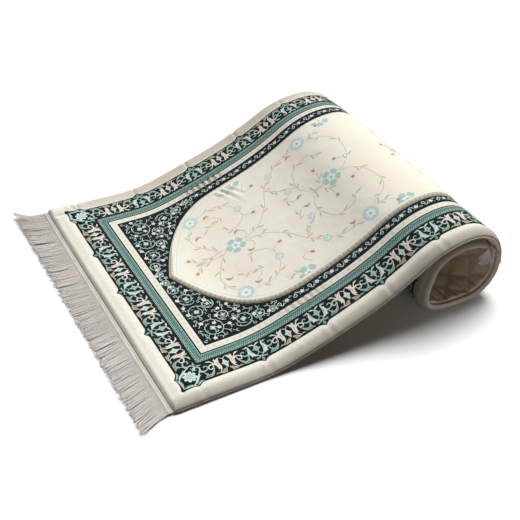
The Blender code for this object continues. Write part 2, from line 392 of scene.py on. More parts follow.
def creases(table, along, across):
    """Folds that fade along their length, each with a soft swell beside it."""
    total = np.zeros(np.broadcast(along, across).shape)
    for start, end, length, high, deep, wide in table:
        start, end = np.array(start), np.array(end)
        axis = (end - start) / np.linalg.norm(end - start)
        run = (along - start[0]) * axis[0] + (across - start[1]) * axis[1]
        off = -(along - start[0]) * axis[1] + (across - start[1]) * axis[0]
        share = np.clip(run / length, 0, 1)
        fade = ease(run / FOLD_START) * (1 - ease(share))
        off = off - FOLD_BOW * np.sin(share * 3)
        raised = high * bump(off, FOLD_LIP + wide, SWELL_HALF)
        total += fade * (raised - deep * bump(off, -0.001, wide))
    return total


# %% The whole relief
SIDE_ROUND = 0.0175  # the inset where the rounded side has reached the top
END_ROUND = 0.0080
FRAMES_DOWN = 0.010
# the swells of the frames: from, to (m), height (a share of the thickness)
SWELLS = ((0.008, 0.031, 0.10), (TEAL_FROM, TEAL_TO, 0.030))
# the stitched troughs between them: middle, half width, depth
TROUGHS = ((SCALLOP, 0.0040, 0.055), (LINE_OUT + 0.002, 0.0022, 0.020), (PALE_FROM, 0.0022, 0.020))
FAR_PUCKERS = 0.150
NEAR_PUCKERS = 0.085
CUSHION_FROM = 0.100  # the inset where the frames give way to the niche's ground
GROUND_RISE = 0.19  # how far the ground beside the niche stands above its stitched-down edge
GROUND_ROUND = 0.0060  # the distance from the edge over which it rises
CUSHION_RISE = 0.27  # the same for the cushion inside
CUSHION_ROUND = 0.0115
CROWN = 0.03
CROWN_FROM = 0.01
CROWN_OVER = 0.08
UNEVEN = 0.020


def face_height(along, across, distance):
    """Height of the printed face above the rug's underside."""
    side, end = insets(along, across)
    nearest = np.minimum(side, end)
    edge = np.minimum(rounded(side / SIDE_ROUND), rounded(end / END_ROUND))
    share = SEAM_SHARE + (1 - SEAM_SHARE) * edge - FRAMES_DOWN
    share += sum(height * swell(nearest, start, stop) for start, stop, height in SWELLS)
    share -= sum(depth * bump(nearest, middle, half) for middle, half, depth in TROUGHS)
    share -= tip_creases(along, across)
    share += np.where(across > 0, FAR_PUCKERS, NEAR_PUCKERS) * puckers(along, side)
    cushion = CUSHION_RISE * rounded(distance / CUSHION_ROUND)
    cushion += CROWN * ease((distance - CROWN_FROM) / CROWN_OVER)
    rise = np.where(distance > 0, cushion, GROUND_RISE * rounded(-distance / GROUND_ROUND))
    share = np.where(nearest > CUSHION_FROM, np.minimum(share, 1.0) + rise - GROUND_RISE, share)
    share += creases(FIELD_CREASES, along, across)
    share += creases(CORNER_CREASES, along, across) * ease(nearest / 0.007)
    share += UNEVEN * np.sin(along * 41 + across * 17) * np.sin(across * 33 + 1.0)
    share = np.where(share > 1.0, 1 + (share - 1) * free_share(along), share)
    return THICKNESS * share


middle_height = face_height(np.array([0.5]), np.array([0.0]), np.array([NICHE_HALF]))[0]
print("the middle of the niche is", round(middle_height * 1000, 1), "mm thick")

# %% [markdown]
# The face is one mesh of even rows, closer together where something small happens: at the rounded
# sides, along the scallops and round the niche. Its UV map is the rug's own flat measure in metres,
# and a second map holds the distance from the print's edge and from the niche, for the colours.

# %% Rows of the face's mesh
def spaced(stops):
    """Places from (start, step) rows up to the last start, evenly spread in each row."""
    places = []
    for (start, step), (end, _) in zip(stops, stops[1:]):
        count = max(1, round((end - start) / step))
        places += [start + (end - start) * number / count for number in range(count)]
    return np.array(places + [stops[-1][0]])


# (inset from the long side, step from there on)
ACROSS_STEPS = (
    (0.0, 0.0010), (0.010, 0.0020), (0.022, 0.0015), (0.036, 0.0034), (0.074, 0.0027), (0.128, 0.0016),
    (0.146, 0.0020), (0.205, 0.0030), (WIDTH / 2, 0),
)
# (length from the flat end, step from there on)
ALONG_STEPS = (
    (0.0, 0.0011), (0.009, 0.0022), (0.024, 0.0015), (0.036, 0.0030), (0.122, 0.0022), (0.365, 0.0034),
    (0.700, 0.0060), (FACE_LENGTH - 0.010, 0.0020), (FACE_LENGTH, 0),
)
half_across = spaced(ACROSS_STEPS)
ACROSS = np.concatenate([half_across - WIDTH / 2, WIDTH / 2 - half_across[-2::-1]])
ALONG = spaced(ALONG_STEPS)
print(len(ALONG), "rows of", len(ACROSS), "points")

# %% Helpers for meshes made of rows
def ring_faces(rows, count, start=0, closed=True):
    """Quads of a sheet of rows; closed joins the last column to the first."""
    number = start + np.arange(rows * count).reshape(rows, count)
    after = np.roll(number, -1, 1)
    quads = np.stack([number[:-1], number[1:], after[1:], after[:-1]], axis=-1)
    if not closed:
        quads = quads[:, :-1]
    return quads.reshape(-1, 4).tolist()


def zip_rows(upper, lower, places):
    """Triangles between two rows of point numbers, both running the same way across."""
    upper, lower = list(upper), list(lower)
    faces = []
    while len(upper) > 1 or len(lower) > 1:
        over = len(lower) < 2 or (len(upper) > 1 and places[upper[1]][1] < places[lower[1]][1])
        row = upper if over else lower
        faces.append((upper[0], row[1], lower[0]))
        row.pop(0)
    return faces


def end_caps(rings, top_count, first_turned):
    """Triangles that close the first and the last ring, whose first top_count points are its top."""
    rows, count = rings.shape[:2]
    faces = []
    for row, turned in ((0, first_turned), (rows - 1, not first_turned)):
        numbers = np.arange(row * count, (row + 1) * count)
        places = dict(zip(numbers, rings[row]))
        closing = zip_rows(numbers[:top_count], numbers[top_count:][::-1], places)
        faces += [face[::-1] if turned else face for face in closing]
    return faces


def new_mesh(name, points, faces, uv=None, more_uv=None):
    """A smooth mesh object; uv and more_uv give one pair of numbers for each point."""
    mesh = bpy.data.meshes.new(name)
    mesh.from_pydata(np.asarray(points, float).tolist(), [], faces)
    mesh.update()
    corners = np.empty(len(mesh.loops), np.int64)
    mesh.loops.foreach_get("vertex_index", corners)
    for layer_name, pairs in (("rug", uv), ("print", more_uv)):
        if pairs is not None:
            layer = mesh.uv_layers.new(name=layer_name)
            layer.data.foreach_set("uv", np.asarray(pairs, np.float32)[corners].ravel())
    mesh.shade_smooth()
    thing = bpy.data.objects.new(name, mesh)
    bpy.context.scene.collection.objects.link(thing)
    return thing


def uv_grid(down, over):
    """One pair of numbers for each point of a sheet of rows."""
    return np.stack(np.broadcast_arrays(down[:, None], over[None]), axis=-1).reshape(-1, 2)


def placed_on(thing, slot, *nodes):
    """The piece rides with the rug and stands for these nodes, whose parts are hidden; slot is not used."""
    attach(thing, "root")
    for node in nodes:
        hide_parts(node)

# %% [markdown]
# ### The face as a closed, filled form
# The print's plain border rounds over the side, down past the seam, and turns a few millimetres under
# the rug, where the backing's edge is tucked behind it. So each cross-section is a closed ring: over
# the top, down the side, back underneath.

# %% Build the padded face
LIP = 0.0085  # how far the face cloth turns under the rug
UNDER_HEIGHT = BACKING_THICKNESS + CLOTH_GAP
# inset from the side, height
UNDER_SIDE = (
    (0.0002, SEAM_SHARE * THICKNESS * 0.90),
    (0.0007, SEAM_SHARE * THICKNESS * 0.62),
    (0.0009, SEAM_SHARE * THICKNESS * 0.36),
    (0.0020, 0.0009),
    (0.0042, 0.0003),
    (LIP - 0.0008, 0.0003),
    (LIP, 0.0009),
    (LIP + 0.0003, UNDER_HEIGHT),
)
UNDER_MIDDLE = (-0.24, -0.12, 0.0, 0.12, 0.24)
# what the second UV map holds on the underside, in place of the two distances
NO_PRINT = -0.02
UNDERSIDE = -1.0


def under_ring():
    """(across, height) points from the near side under the rug to the far side."""
    near = [(inset - WIDTH / 2, height) for inset, height in UNDER_SIDE]
    middle = [(across, UNDER_HEIGHT) for across in UNDER_MIDDLE]
    return np.array(near + middle + [(-across, height) for across, height in near[::-1]])


def build_face():
    along, across = np.meshgrid(ALONG, ACROSS, indexing="ij")
    distance, _ = niche_distance(along, across)
    top = lie_on_face(along, across, face_height(along, across, distance))
    under = under_ring()[::-1]
    below = lie_on_face(ALONG[:, None], under[None, :, 0], under[None, :, 1])
    rings = np.concatenate([top, below], axis=1)
    faces = [tuple(face[::-1]) for face in ring_faces(*rings.shape[:2])]
    faces += end_caps(rings, len(ACROSS), False)
    uv = uv_grid(ALONG, np.concatenate([ACROSS, under[:, 0]]) + WIDTH / 2)
    side, end = insets(along, across)
    from_side = side - scallop_inset(along, ALL_SIDE_TIPS)
    from_end = end - scallop_inset(across, ALL_END_TIPS)
    edge = np.minimum(from_side, from_end)
    more = [np.pad(values, ((0, 0), (0, len(under))), constant_values=filler)
            for values, filler in ((edge, NO_PRINT), (distance, UNDERSIDE))]
    return new_mesh("padded_cloth", rings.reshape(-1, 3), faces, uv, np.stack(more, -1).reshape(-1, 2))


face = build_face()
placed_on(face, "printed_cloth", "padded_face")
print("padded cloth:", len(face.data.polygons), "faces")

# %% [markdown]
# ## Materials
# All the cloth is matt, with a short pile. A colour is written as it looks on a screen and turned
# into light here. Each material has its own variation and a fine bump, and nothing in it depends on
# where the camera stands.

# %% Helpers for materials
def tint(red, green, blue):
    """A colour given in screen values from 0 to 255, as linear light."""
    shares = [value / 255 for value in (red, green, blue)]
    light = [share / 12.92 if share <= 0.04045 else ((share + 0.055) / 1.055) ** 2.4 for share in shares]
    return tuple(light) + (1.0,)


class Value:
    """An output in a material's node tree. Sums, products and so on add a maths node each."""

    def __init__(self, look, socket):
        self.look, self.socket = look, socket

    def __add__(self, other):
        return self.look.maths("ADD", self, other)

    def __sub__(self, other):
        return self.look.maths("SUBTRACT", self, other)

    def __rsub__(self, other):
        return self.look.maths("SUBTRACT", other, self)

    def __mul__(self, other):
        return self.look.maths("MULTIPLY", self, other)

    def __truediv__(self, other):
        return self.look.maths("DIVIDE", self, other)


class Look:
    """A material's node tree, with one short method for each kind of node that is needed."""

    def __init__(self, name, roughness=0.9, sheen=0.25):
        self.material = bpy.data.materials.new(name)
        self.material.use_nodes = True
        self.tree = self.material.node_tree
        self.shader = self.tree.nodes["Principled BSDF"]
        self.shader.inputs["Roughness"].default_value = roughness
        self.shader.inputs["Sheen Weight"].default_value = sheen
        self.shader.inputs["Sheen Roughness"].default_value = 0.6
        self.shader.inputs["Specular IOR Level"].default_value = 0.15

    def put(self, value, socket):
        """Links a value, or sets a constant; three numbers are a screen colour."""
        if isinstance(value, Value):
            self.tree.links.new(value.socket, socket)
        elif isinstance(value, tuple) and len(value) == 3:
            socket.default_value = tint(*value)
        else:
            socket.default_value = value

    def maths(self, operation, *values):
        node = self.tree.nodes.new("ShaderNodeMath")
        node.operation = operation
        for value, socket in zip(values, node.inputs):
            self.put(value, socket)
        return Value(self, node.outputs[0])

    def least(self, first, second):
        return self.maths("MINIMUM", first, second)

    def mix(self, share, first, second):
        node = self.tree.nodes.new("ShaderNodeMix")
        node.data_type = "RGBA"
        for value, name in ((share, "Factor"), (first, "A"), (second, "B")):
            self.put(value, node.inputs[name])
        return Value(self, node.outputs["Result"])

    def noise(self, scale, detail=2.0):
        """Noise over the object's own place in metres."""
        node = self.tree.nodes.new("ShaderNodeTexNoise")
        node.inputs["Scale"].default_value = scale
        node.inputs["Detail"].default_value = detail
        place = self.tree.nodes.new("ShaderNodeTexCoord")
        self.tree.links.new(place.outputs["Object"], node.inputs["Vector"])
        return Value(self, node.outputs["Fac"])

    def mottled(self, scale, light, dark, detail=2.0):
        return self.mix(self.noise(scale, detail), light, dark)

    def map(self, name):
        """The two numbers of a UV map."""
        node = self.tree.nodes.new("ShaderNodeUVMap")
        node.uv_map = name
        split = self.tree.nodes.new("ShaderNodeSeparateXYZ")
        self.tree.links.new(node.outputs[0], split.inputs[0])
        return Value(self, split.outputs[0]), Value(self, split.outputs[1])

    def step(self, value, start, soft=0.0003):
        """0 below a limit and 1 above it, over a short width."""
        node = self.tree.nodes.new("ShaderNodeMapRange")
        node.interpolation_type = "SMOOTHSTEP"
        self.put(value, node.inputs["Value"])
        node.inputs["From Min"].default_value = start - soft
        node.inputs["From Max"].default_value = start + soft
        return Value(self, node.outputs["Result"])

    def between(self, value, low, high, soft=0.0003):
        """1 between two limits."""
        return self.step(value, low, soft) - self.step(value, high, soft)

    def bump(self, height, distance, strength=1.0):
        """Adds a bump to the shader, after any that is there."""
        node = self.tree.nodes.new("ShaderNodeBump")
        node.inputs["Strength"].default_value = strength
        node.inputs["Distance"].default_value = distance
        self.put(height, node.inputs["Height"])
        for link in self.shader.inputs["Normal"].links:
            self.tree.links.new(link.from_socket, node.inputs["Normal"])
        self.tree.links.new(node.outputs["Normal"], self.shader.inputs["Normal"])

    def colour(self, value):
        self.put(value, self.shader.inputs["Base Color"])

    def onto(self, thing):
        thing.data.materials.clear()
        thing.data.materials.append(self.material)

# %% [markdown]
# ### The printed ground
# The frames are drawn by the distance from the nearer edge, so their corners mitre by themselves.
# Frames without motifs (the teal band with its fine stipple, the pale band with its row of small
# squares) are finished here. Motifs are cut as cloth shapes later, because a real shape keeps its
# points and curves at any distance.

# %% Colours of the rug
IVORY = (241, 238, 226)
IVORY_WARM = (231, 226, 210)
# the next two colours are painted shade, not cloth colours: the far border's rounded tube and the near
# border's outer half, darkened for how light falls on them
IVORY_FAR_SHADE = (204, 193, 174)  # the plain border on the far side
IVORY_NEAR_SHADE = (172, 167, 150)  # the same on the near side
IVORY_GRAIN = (120, 116, 104)
FIELD = (246, 243, 230)
FIELD_WARM = (235, 228, 210)
NICHE_LINE = (202, 224, 219)
BLACK = (17, 21, 24)
BLACK_GREEN = (16, 27, 28)
TEAL_DARK = (112, 150, 143)
TEAL_LIGHT = (168, 202, 194)
TEAL_DOT = (18, 46, 46)
PALE_BAND = (224, 223, 213)
PINK_SQUARE = (220, 204, 195)
BEIGE_SQUARE = (204, 201, 184)
TROUGH_SHADE = (84, 80, 70)
LIP_CLOTH = (224, 210, 200)
print("the shades of the printed cloth are named")

# %% The plain border and the teal band
DOT_PITCH = 0.0042
DOT_STRAY = 0.0012


def plain_border(look, along, across, broad):
    """The plain cloth, with painted shade: darker and warmer towards the far side's edge, and darker on the
    near side's outer part.
    """
    plain = look.mix(broad * 0.8, IVORY, IVORY_WARM)
    # painted shade: the far border darkens towards its edge, and the near border on its outer half
    far_shade = look.step(across, WIDTH - 0.026, 0.012) * look.step(along, 0.05, 0.05)
    near_shade = 1.0 - look.step(across, 0.016, 0.012)
    return look.mix(near_shade * 0.85, look.mix(far_shade * 0.9, plain, IVORY_FAR_SHADE), IVORY_NEAR_SHADE)


def stipple(look, run, nearest):
    """The dark dots of the teal band, in offset rows that stray a little."""
    nearest = nearest + (look.noise(240.0, 1.0) * (2 * DOT_STRAY) - DOT_STRAY)
    row = (nearest - TEAL_FROM) / (DOT_PITCH * 0.8)
    column = run / DOT_PITCH + look.maths("FLOOR", row) * 0.5
    right = look.maths("FRACT", column) - 0.5
    up = look.maths("FRACT", row) - 0.5
    away = look.maths("SQRT", right * right + up * up)
    size = 0.38 - (nearest - TEAL_FROM) / (TEAL_TO - TEAL_FROM) * 0.04
    return look.step(size - away, 0.0, 0.08) * 0.92


def teal_band(look, run, nearest, black):
    """The band is darker along its middle and ends in a black line on its inner side."""
    share = (nearest - TEAL_FROM) / (TEAL_TO - TEAL_FROM)
    middle = look.step(share, 0.30, 0.28) - look.step(share, 0.80, 0.20)
    teal = look.mix(middle, TEAL_LIGHT, TEAL_DARK)
    teal = look.mix(stipple(look, run, nearest), teal, TEAL_DOT)
    return look.mix(look.step(share, 0.915, 0.03), teal, black)


# %% The pale band and the shade in the ripples
SQUARE_PITCH = 0.0127
SQUARE_HALF = 0.0025


def squares(look, run, nearest, ground):
    """The pale band's row of small squares, pink and beige by turns."""
    place = run / SQUARE_PITCH
    off = look.maths("ABSOLUTE", look.maths("FRACT", place) - 0.5)
    high = look.maths("ABSOLUTE", nearest - (PALE_FROM + PALE_TO) / 2)
    within = (1.0 - look.step(off, 0.24, 0.03)) * (1.0 - look.step(high, SQUARE_HALF, 0.0004))
    odd = look.maths("GREATER_THAN", look.maths("FRACT", place * 0.5), 0.5)
    return look.mix(within * 0.70, ground, look.mix(odd, PINK_SQUARE, BEIGE_SQUARE))


def ripple_shade(look, along, across, side):
    """How dark the cloth is in the troughs of the ripples; the far side's are deeper."""
    window = look.between(along, 0.258, 0.346, 0.020) * look.between(side, 0.0905, 0.108, 0.004)
    trough = 0.5 - look.maths("SINE", along * (2 * math.pi / PUCKER_PITCH)) * 0.5
    return window * trough * (look.step(across, WIDTH / 2, 0.01) * 0.30 + 0.35)


# %% The ground of the whole print
# scale and detail of the noise, distance and strength of the bump
GROUND_BUMPS = ((2600.0, 2.0, 0.0004, 0.35), (260.0, 3.0, 0.0008, 0.30), (38.0, 2.0, 0.0030, 0.35))
LINE_IN_NICHE = (0.0132, 0.0145)
LIP_LIMIT = -0.65  # between the second map's mark for the underside and its real distances


def printed_ground():
    look = Look("printed_ground", 0.92, 0.06)
    along, across = look.map("rug")
    edge, niche = look.map("print")
    side = look.least(across, WIDTH - across)
    end = look.least(along, float(FACE_LENGTH) - along)
    nearest = look.least(side, end)
    by_side = look.maths("LESS_THAN", side, end)
    run = along * by_side + across * (1.0 - by_side)
    broad = look.noise(9.0, 3.0)
    black = look.mix(broad, BLACK, BLACK_GREEN)
    printed = look.step(edge, 0.0)
    colour = look.mix(printed, plain_border(look, along, across, broad), black)
    teal = teal_band(look, run, nearest, black)
    colour = look.mix(look.between(nearest, TEAL_FROM, TEAL_TO), colour, teal)
    pale = squares(look, run, nearest, look.mix(broad, PALE_BAND, IVORY_WARM))
    colour = look.mix(look.between(nearest, PALE_FROM, PALE_TO), colour, pale)
    colour = look.mix(look.step(nearest, PALE_TO), colour, black)
    field = look.mottled(24.0, FIELD, FIELD_WARM, 3.0)
    field = look.mix(look.between(niche, *LINE_IN_NICHE, 0.0004), field, NICHE_LINE)
    colour = look.mix(look.step(niche, 0.0), colour, field)
    colour = look.mix(ripple_shade(look, along, across, side), colour, TROUGH_SHADE)
    colour = look.mix(look.step(niche, LIP_LIMIT, 0.25), LIP_CLOTH, colour)
    grain = (0.70 - look.noise(560.0) * 1.3) * (1.0 - printed)
    look.colour(look.mix(grain, colour, IVORY_GRAIN))
    for scale, detail, distance, strength in GROUND_BUMPS:
        look.bump(look.noise(scale, detail), distance, strength)
    return look


printed_ground().onto(face)
print("printed ground done")

# %% [markdown]
# ## The quilted backing
# The lining shows inside the roll. It is a thin cloth stitched in diamonds, so between the lines of
# stitching it puffs up, and where the roll squeezes it, short creases run in from the rim. It is one
# closed sheet with its own thickness, swept along the same run. On the flat part the rug's own
# weight presses the puffs flat against the surface, so there they only rise at the stitching.

# %% Helpers for tubes
def unit(vectors):
    return vectors / np.maximum(np.linalg.norm(vectors, axis=-1, keepdims=True), 1e-9)


def tubes(name, paths, radii, sides, oval=1.0, twist=0.0):
    """Many thin tubes as one mesh. paths is (tube, step, 3); twist is in turns per metre."""
    count, steps, _ = paths.shape
    tangent = unit(np.gradient(paths, axis=1))
    level = unit(np.cross(tangent, np.array([0.0, 1.0, 0.0])))
    other = np.cross(tangent, level)
    lengths = np.pad(np.cumsum(np.linalg.norm(np.diff(paths, axis=1), axis=2), axis=1), ((0, 0), (1, 0)))
    angle = np.linspace(0, 2 * np.pi, sides, endpoint=False)
    turned = 2 * np.pi * twist * lengths[..., None]
    wide = radii[..., None] * np.cos(angle)
    narrow = radii[..., None] * oval * np.sin(angle)
    first = wide * np.cos(turned) - narrow * np.sin(turned)
    second = wide * np.sin(turned) + narrow * np.cos(turned)
    rings = paths[:, :, None] + first[..., None] * level[:, :, None] + second[..., None] * other[:, :, None]
    faces = []
    for start in range(0, count * steps * sides, steps * sides):
        faces += ring_faces(steps, sides, start)
        last = start + (steps - 1) * sides
        faces += [tuple(range(start, start + sides)), tuple(range(last, last + sides))[::-1]]
    tube_number = np.arange(count)[:, None, None] * 0.01
    uv = np.stack(np.broadcast_arrays(lengths[..., None], tube_number, rings[..., 0])[:2], axis=-1)
    return new_mesh(name, rings.reshape(-1, 3), faces, uv.reshape(-1, 2))

# %% Build the backing
QUILT_PITCH = 0.058
RIM_PITCH = 0.023  # between the short creases at the rim
RIM_SLANT = 14
BACKING_FROM = LIP + 0.0004
BACKING_HALF = WIDTH / 2 - BACKING_FROM
BACKING_STEPS = ((BACKING_FROM, 0.0050), (0.47, 0.0034), (RUN_LENGTH - BACKING_FROM, 0))
BACKING_ACROSS = 150
HIDDEN_ACROSS = 13


def curled_share(length):
    """0 on the flat and on the ramp, 1 inside the roll."""
    return ease((length - ROWS["curl"][0] + 0.03) / 0.06)


def quilting(length, across):
    """Depth of the backing's visible side, away from the rug (negative) or into it."""
    one = np.abs(np.sin(np.pi * (length + across) / QUILT_PITCH))
    two = np.abs(np.sin(np.pi * (length - across) / QUILT_PITCH))
    puff = np.minimum(one, two) ** 0.55
    lifted = ease((length - 0.17) / 0.06)
    curled = curled_share(length)
    height = 0.0007 * (1 - puff) * (1 - 0.4 * curled) - (0.0006 * lifted + 0.0012 * curled) * puff
    rim = ease((np.abs(across) - (BACKING_HALF - 0.075)) / 0.055)
    pinch = np.maximum(0, np.cos(2 * np.pi * length / RIM_PITCH + RIM_SLANT * np.abs(across))) ** 5
    height += curled * rim * (0.0024 * pinch - 0.0005)
    wave = np.sin(length * 95 + across * 30) * np.sin(across * 70 + length * 20)
    return height + 0.0005 * curled * wave


def build_backing():
    lengths = spaced(BACKING_STEPS)
    across = np.linspace(-BACKING_HALF, BACKING_HALF, BACKING_ACROSS)
    edge = ease((BACKING_HALF - np.abs(across)) / 0.003)
    shown = quilting(lengths[:, None], across[None]) * edge
    visible = lie_on_run(lengths[:, None], across[None], shown)
    back = np.linspace(BACKING_HALF, -BACKING_HALF, HIDDEN_ACROSS)
    hidden = lie_on_run(lengths[:, None], back[None], np.full((1, HIDDEN_ACROSS), BACKING_THICKNESS))
    rings = np.concatenate([visible, hidden], axis=1)
    faces = ring_faces(*rings.shape[:2]) + end_caps(rings, BACKING_ACROSS, True)
    uv = uv_grid(lengths, np.concatenate([across, back]) + WIDTH / 2)
    return new_mesh("quilted_backing", rings.reshape(-1, 3), faces, uv)


backing = build_backing()
placed_on(backing, "quilted_cloth", "backing")
print("quilted backing:", len(backing.data.polygons), "faces")

# %% Colours of the backing
LINING = (238, 224, 200)
LINING_WARM = (224, 206, 180)
LINING_STITCH = (132, 106, 86)
# the next colour is painted shade in the short creases at the roll's rim, not a colour of the lining
LINING_CREASE_SHADE = (92, 70, 54)
ROLL_FROM = 0.80  # where along the run the rim's creases begin


def quilted_lining():
    look = Look("quilted_lining", 0.95, 0.35)
    along, across = look.map("rug")
    off = across - WIDTH / 2
    drift = look.noise(20.0) * 0.020 - 0.010
    lines = []
    for diagonal in (along + off, along - off):
        place = look.maths("FRACT", (diagonal + drift) / QUILT_PITCH)
        lines.append(look.least(place, 1.0 - place))
    stitched = 1.0 - look.step(look.least(*lines), 0.034, 0.034)
    ground = look.mottled(16.0, LINING, LINING_WARM, 3.0)
    ground = look.mix(stitched * 0.26, ground, LINING_STITCH)
    off = look.maths("ABSOLUTE", off)
    wave = along * (2 * math.pi / RIM_PITCH) + off * RIM_SLANT
    # painted shade: the lining darkens along the rim's creases
    crease = look.maths("POWER", look.maths("MAXIMUM", look.maths("COSINE", wave), 0.0), 12.0)
    within = look.step(off, BACKING_HALF - 0.040, 0.026) * look.step(along, ROLL_FROM, 0.04)
    look.colour(look.mix(crease * within * 0.55, ground, LINING_CREASE_SHADE))
    look.bump(look.noise(1900.0), 0.0004, 0.35)
    look.bump(look.noise(70.0, 3.0), 0.0024, 0.30)
    return look


quilted_lining().onto(backing)
print("lining's colours done")

# %% [markdown]
# ### The seam and the cord at the backing's edge
# The face cloth is joined under the side by a stitched seam, seen as one pale line, and where it
# meets the backing a narrow cord covers the join. Both are long tubes that follow the run, with a
# few sides each, since they are only about a millimetre thick.

# %% Seam and edge cord
TUBE_STEPS = 420
STITCH_PITCH = 0.0061


def run_tube(name, inset, height, radius):
    """Two tubes along the rug, one a side, at an inset and a height."""
    lengths = np.linspace(0.004, FACE_LENGTH - 0.004, TUBE_STEPS)
    ripple = 1 + 0.12 * np.sin(2 * np.pi * lengths / STITCH_PITCH)
    paths = np.stack([lie_on_face(lengths, side * (WIDTH / 2 - inset), height) for side in (-1, 1)])
    return tubes(name, paths, np.broadcast_to(radius * ripple, paths.shape[:2]), 6, oval=0.8)


def thread(name, patches, light, dark):
    look = Look(name, 0.85)
    look.colour(look.mottled(patches, light, dark))
    look.bump(look.noise(2200.0), 0.0004, 0.4)
    return look


side_seam = run_tube("side_seam", 0.0001, SEAM_SHARE * THICKNESS * 0.80, 0.0010)
edge_cord = run_tube("edge_cord", LIP + 0.0002, 0.0014, 0.0013)
thread("seam_thread", 300.0, (238, 230, 218), (218, 208, 194)).onto(side_seam)
thread("blush_cord", 200.0, (222, 200, 192), (200, 176, 168)).onto(edge_cord)
for thing in (side_seam, edge_cord):
    placed_on(thing, "quilted_cloth")
print("seam and edge cord done")

# %% [markdown]
# ## The fringes
# Each fringe is a ribbed woven heading with twisted cords hanging from it. The cords aren't evenly
# parted: they cling together in bunches, with dark gaps between the bunches, and their ends fray.
# Every cord is a real tube with an oval section that turns along it, which reads as a twist in any
# light. A seeded random generator gives the same fringe each time.

# %% Where the fringes lie
HEADING_RISE = 0.0032  # of a heading's underside above the rug's
FRONT_SETTLED = 0.72  # the share of its length after which the front fringe lies on the surface
FRONT_SPREAD = 0.018  # how far the cords' ends spread beyond the rug's sides
ROLLED_DROOP = math.radians(78)


def front_fringe_at(length, across, height):
    """Points on the flat end's fringe: length from the rug, height above its underside."""
    fallen = np.minimum(1.0, length / (FRONT_SETTLED * FRINGE_LENGTH))
    rise = HEADING_RISE * (1 + np.cos(np.pi * fallen)) / 2
    return settled(-SEAM_GAP - length, across, rise + height)


def rolled_fringe_at(length, across, height):
    """Points on the rolled end's fringe, which droops inside the roll."""
    x, z, heading = on_run(np.array([RUN_LENGTH]))
    x, z = x - np.sin(heading) * HEADING_RISE, z + np.cos(heading) * HEADING_RISE
    straight = SEAM_GAP + HEADING_LENGTH
    before = np.minimum(length + SEAM_GAP, straight)
    x, z = x + np.cos(heading) * before, z + np.sin(heading) * before
    beyond = np.maximum(0.0, length + SEAM_GAP - straight)
    rate = -ROLLED_DROOP / YARN_LENGTH
    end = heading + rate * beyond
    x = x + (np.sin(end) - np.sin(heading)) / rate
    z = z - (np.cos(end) - np.cos(heading)) / rate
    return settled(x - np.sin(end) * height, across, z + np.cos(end) * height)


# %% The woven headings
RIB_PITCH = 0.0036
CORDS_FROM = 0.0064
HEADING_HALF = WIDTH / 2 - 0.0025
HEADING_UNDER = 0.0002
# share of the heading's length, height of its upper side
HEADING_SECTION = (
    (0.00, 0.0008), (0.04, 0.0015), (0.13, 0.0016), (0.22, 0.0012), (0.30, 0.0017), (0.38, 0.0021),
    (0.46, 0.0017), (0.54, 0.0012), (0.64, 0.0016), (0.78, 0.0015), (0.90, 0.0016), (1.00, 0.0009),
)


def woven_heading(name, at):
    across = np.arange(-HEADING_HALF, HEADING_HALF, RIB_PITCH / 6)
    share, height = np.array(HEADING_SECTION).T
    rib = 0.80 + 0.26 * np.sin(2 * np.pi * across / RIB_PITCH)
    upper = at(share[:, None] * HEADING_LENGTH, across[None], height[:, None] * rib[None])
    back = share[::-4]
    lower = at(back[:, None] * HEADING_LENGTH, across[None], HEADING_UNDER)
    rings = np.concatenate([upper, lower], axis=0).transpose(1, 0, 2)
    rows, count = rings.shape[:2]
    faces = ring_faces(rows, count)
    faces += [tuple(range(count)), tuple(range((rows - 1) * count, rows * count))[::-1]]
    uv = uv_grid(across, np.concatenate([share, back]) * HEADING_LENGTH)
    return new_mesh(name, rings.reshape(-1, 3), faces, uv)


front_heading = woven_heading("front_heading", front_fringe_at)
rolled_heading = woven_heading("rolled_heading", rolled_fringe_at)
print("headings:", len(front_heading.data.polygons), "faces each")

# %% The cords
CORD_RADIUS = 0.00128
THREAD_RADIUS = 0.00030
THREADS_PER_CORD = 4
THREAD_REACH = 0.0065
THREAD_STEPS = 5
FLARE_FROM = 0.20  # how far across the cords begin to bend to the corner


def cord_starts(count):
    return np.linspace(-HEADING_HALF + 0.001, HEADING_HALF - 0.001, count)


def bunched(count, seed):
    """Start places of the cords, and how far each is drawn to the middle of its bunch."""
    random = np.random.default_rng(seed)
    start = cord_starts(count)
    edges = [0]
    while edges[-1] < count:
        edges.append(edges[-1] + int(random.integers(4, 12)))
    drawn, raised = np.zeros(count), np.zeros(count)
    for first, last in zip(edges, edges[1:]):
        some = slice(first, min(last, count))
        middle = start[some].mean() + random.normal(0, 0.0012)
        drawn[some] = (middle - start[some]) * random.uniform(0.05, 0.15)
        raised[some] = random.uniform(0.0, 0.0012)
    return start, drawn, raised, random


def cord_paths(at, count, steps, seed, spread, ends, flare):
    """Each cord's path; flare is how far the cords of one corner bend outward."""
    start, drawn, raised, random = bunched(count, seed)
    corner_share = ease((np.sign(flare) * start[:, None] - FLARE_FROM) / 0.10) ** 2
    share = np.linspace(0, 1, steps)[None]
    reach = (FRINGE_LENGTH - SEAM_GAP - CORDS_FROM) * (1 - random.uniform(0, ends, count))[:, None]
    length = CORDS_FROM + share * reach
    across = start[:, None] * (1 + share**1.4 * spread / (WIDTH / 2)) + drawn[:, None] * ease(share * 1.3)
    phase = random.uniform(0, 2 * np.pi, count)[:, None]
    waves = random.uniform(0.7, 1.9, count)[:, None]
    across = across + 0.0005 * share * np.sin(phase + share * 2 * np.pi * waves)
    across = across + flare * corner_share * share**1.3
    height = 0.0015 + raised[:, None] * share + 0.0003 * np.sin(phase * 2 + share * 7)
    height = height + 0.8 * abs(flare) * corner_share * share**1.5 + 0.0009 * ease(1 - share * 6)
    return at(length, across, height), length, across, height, random


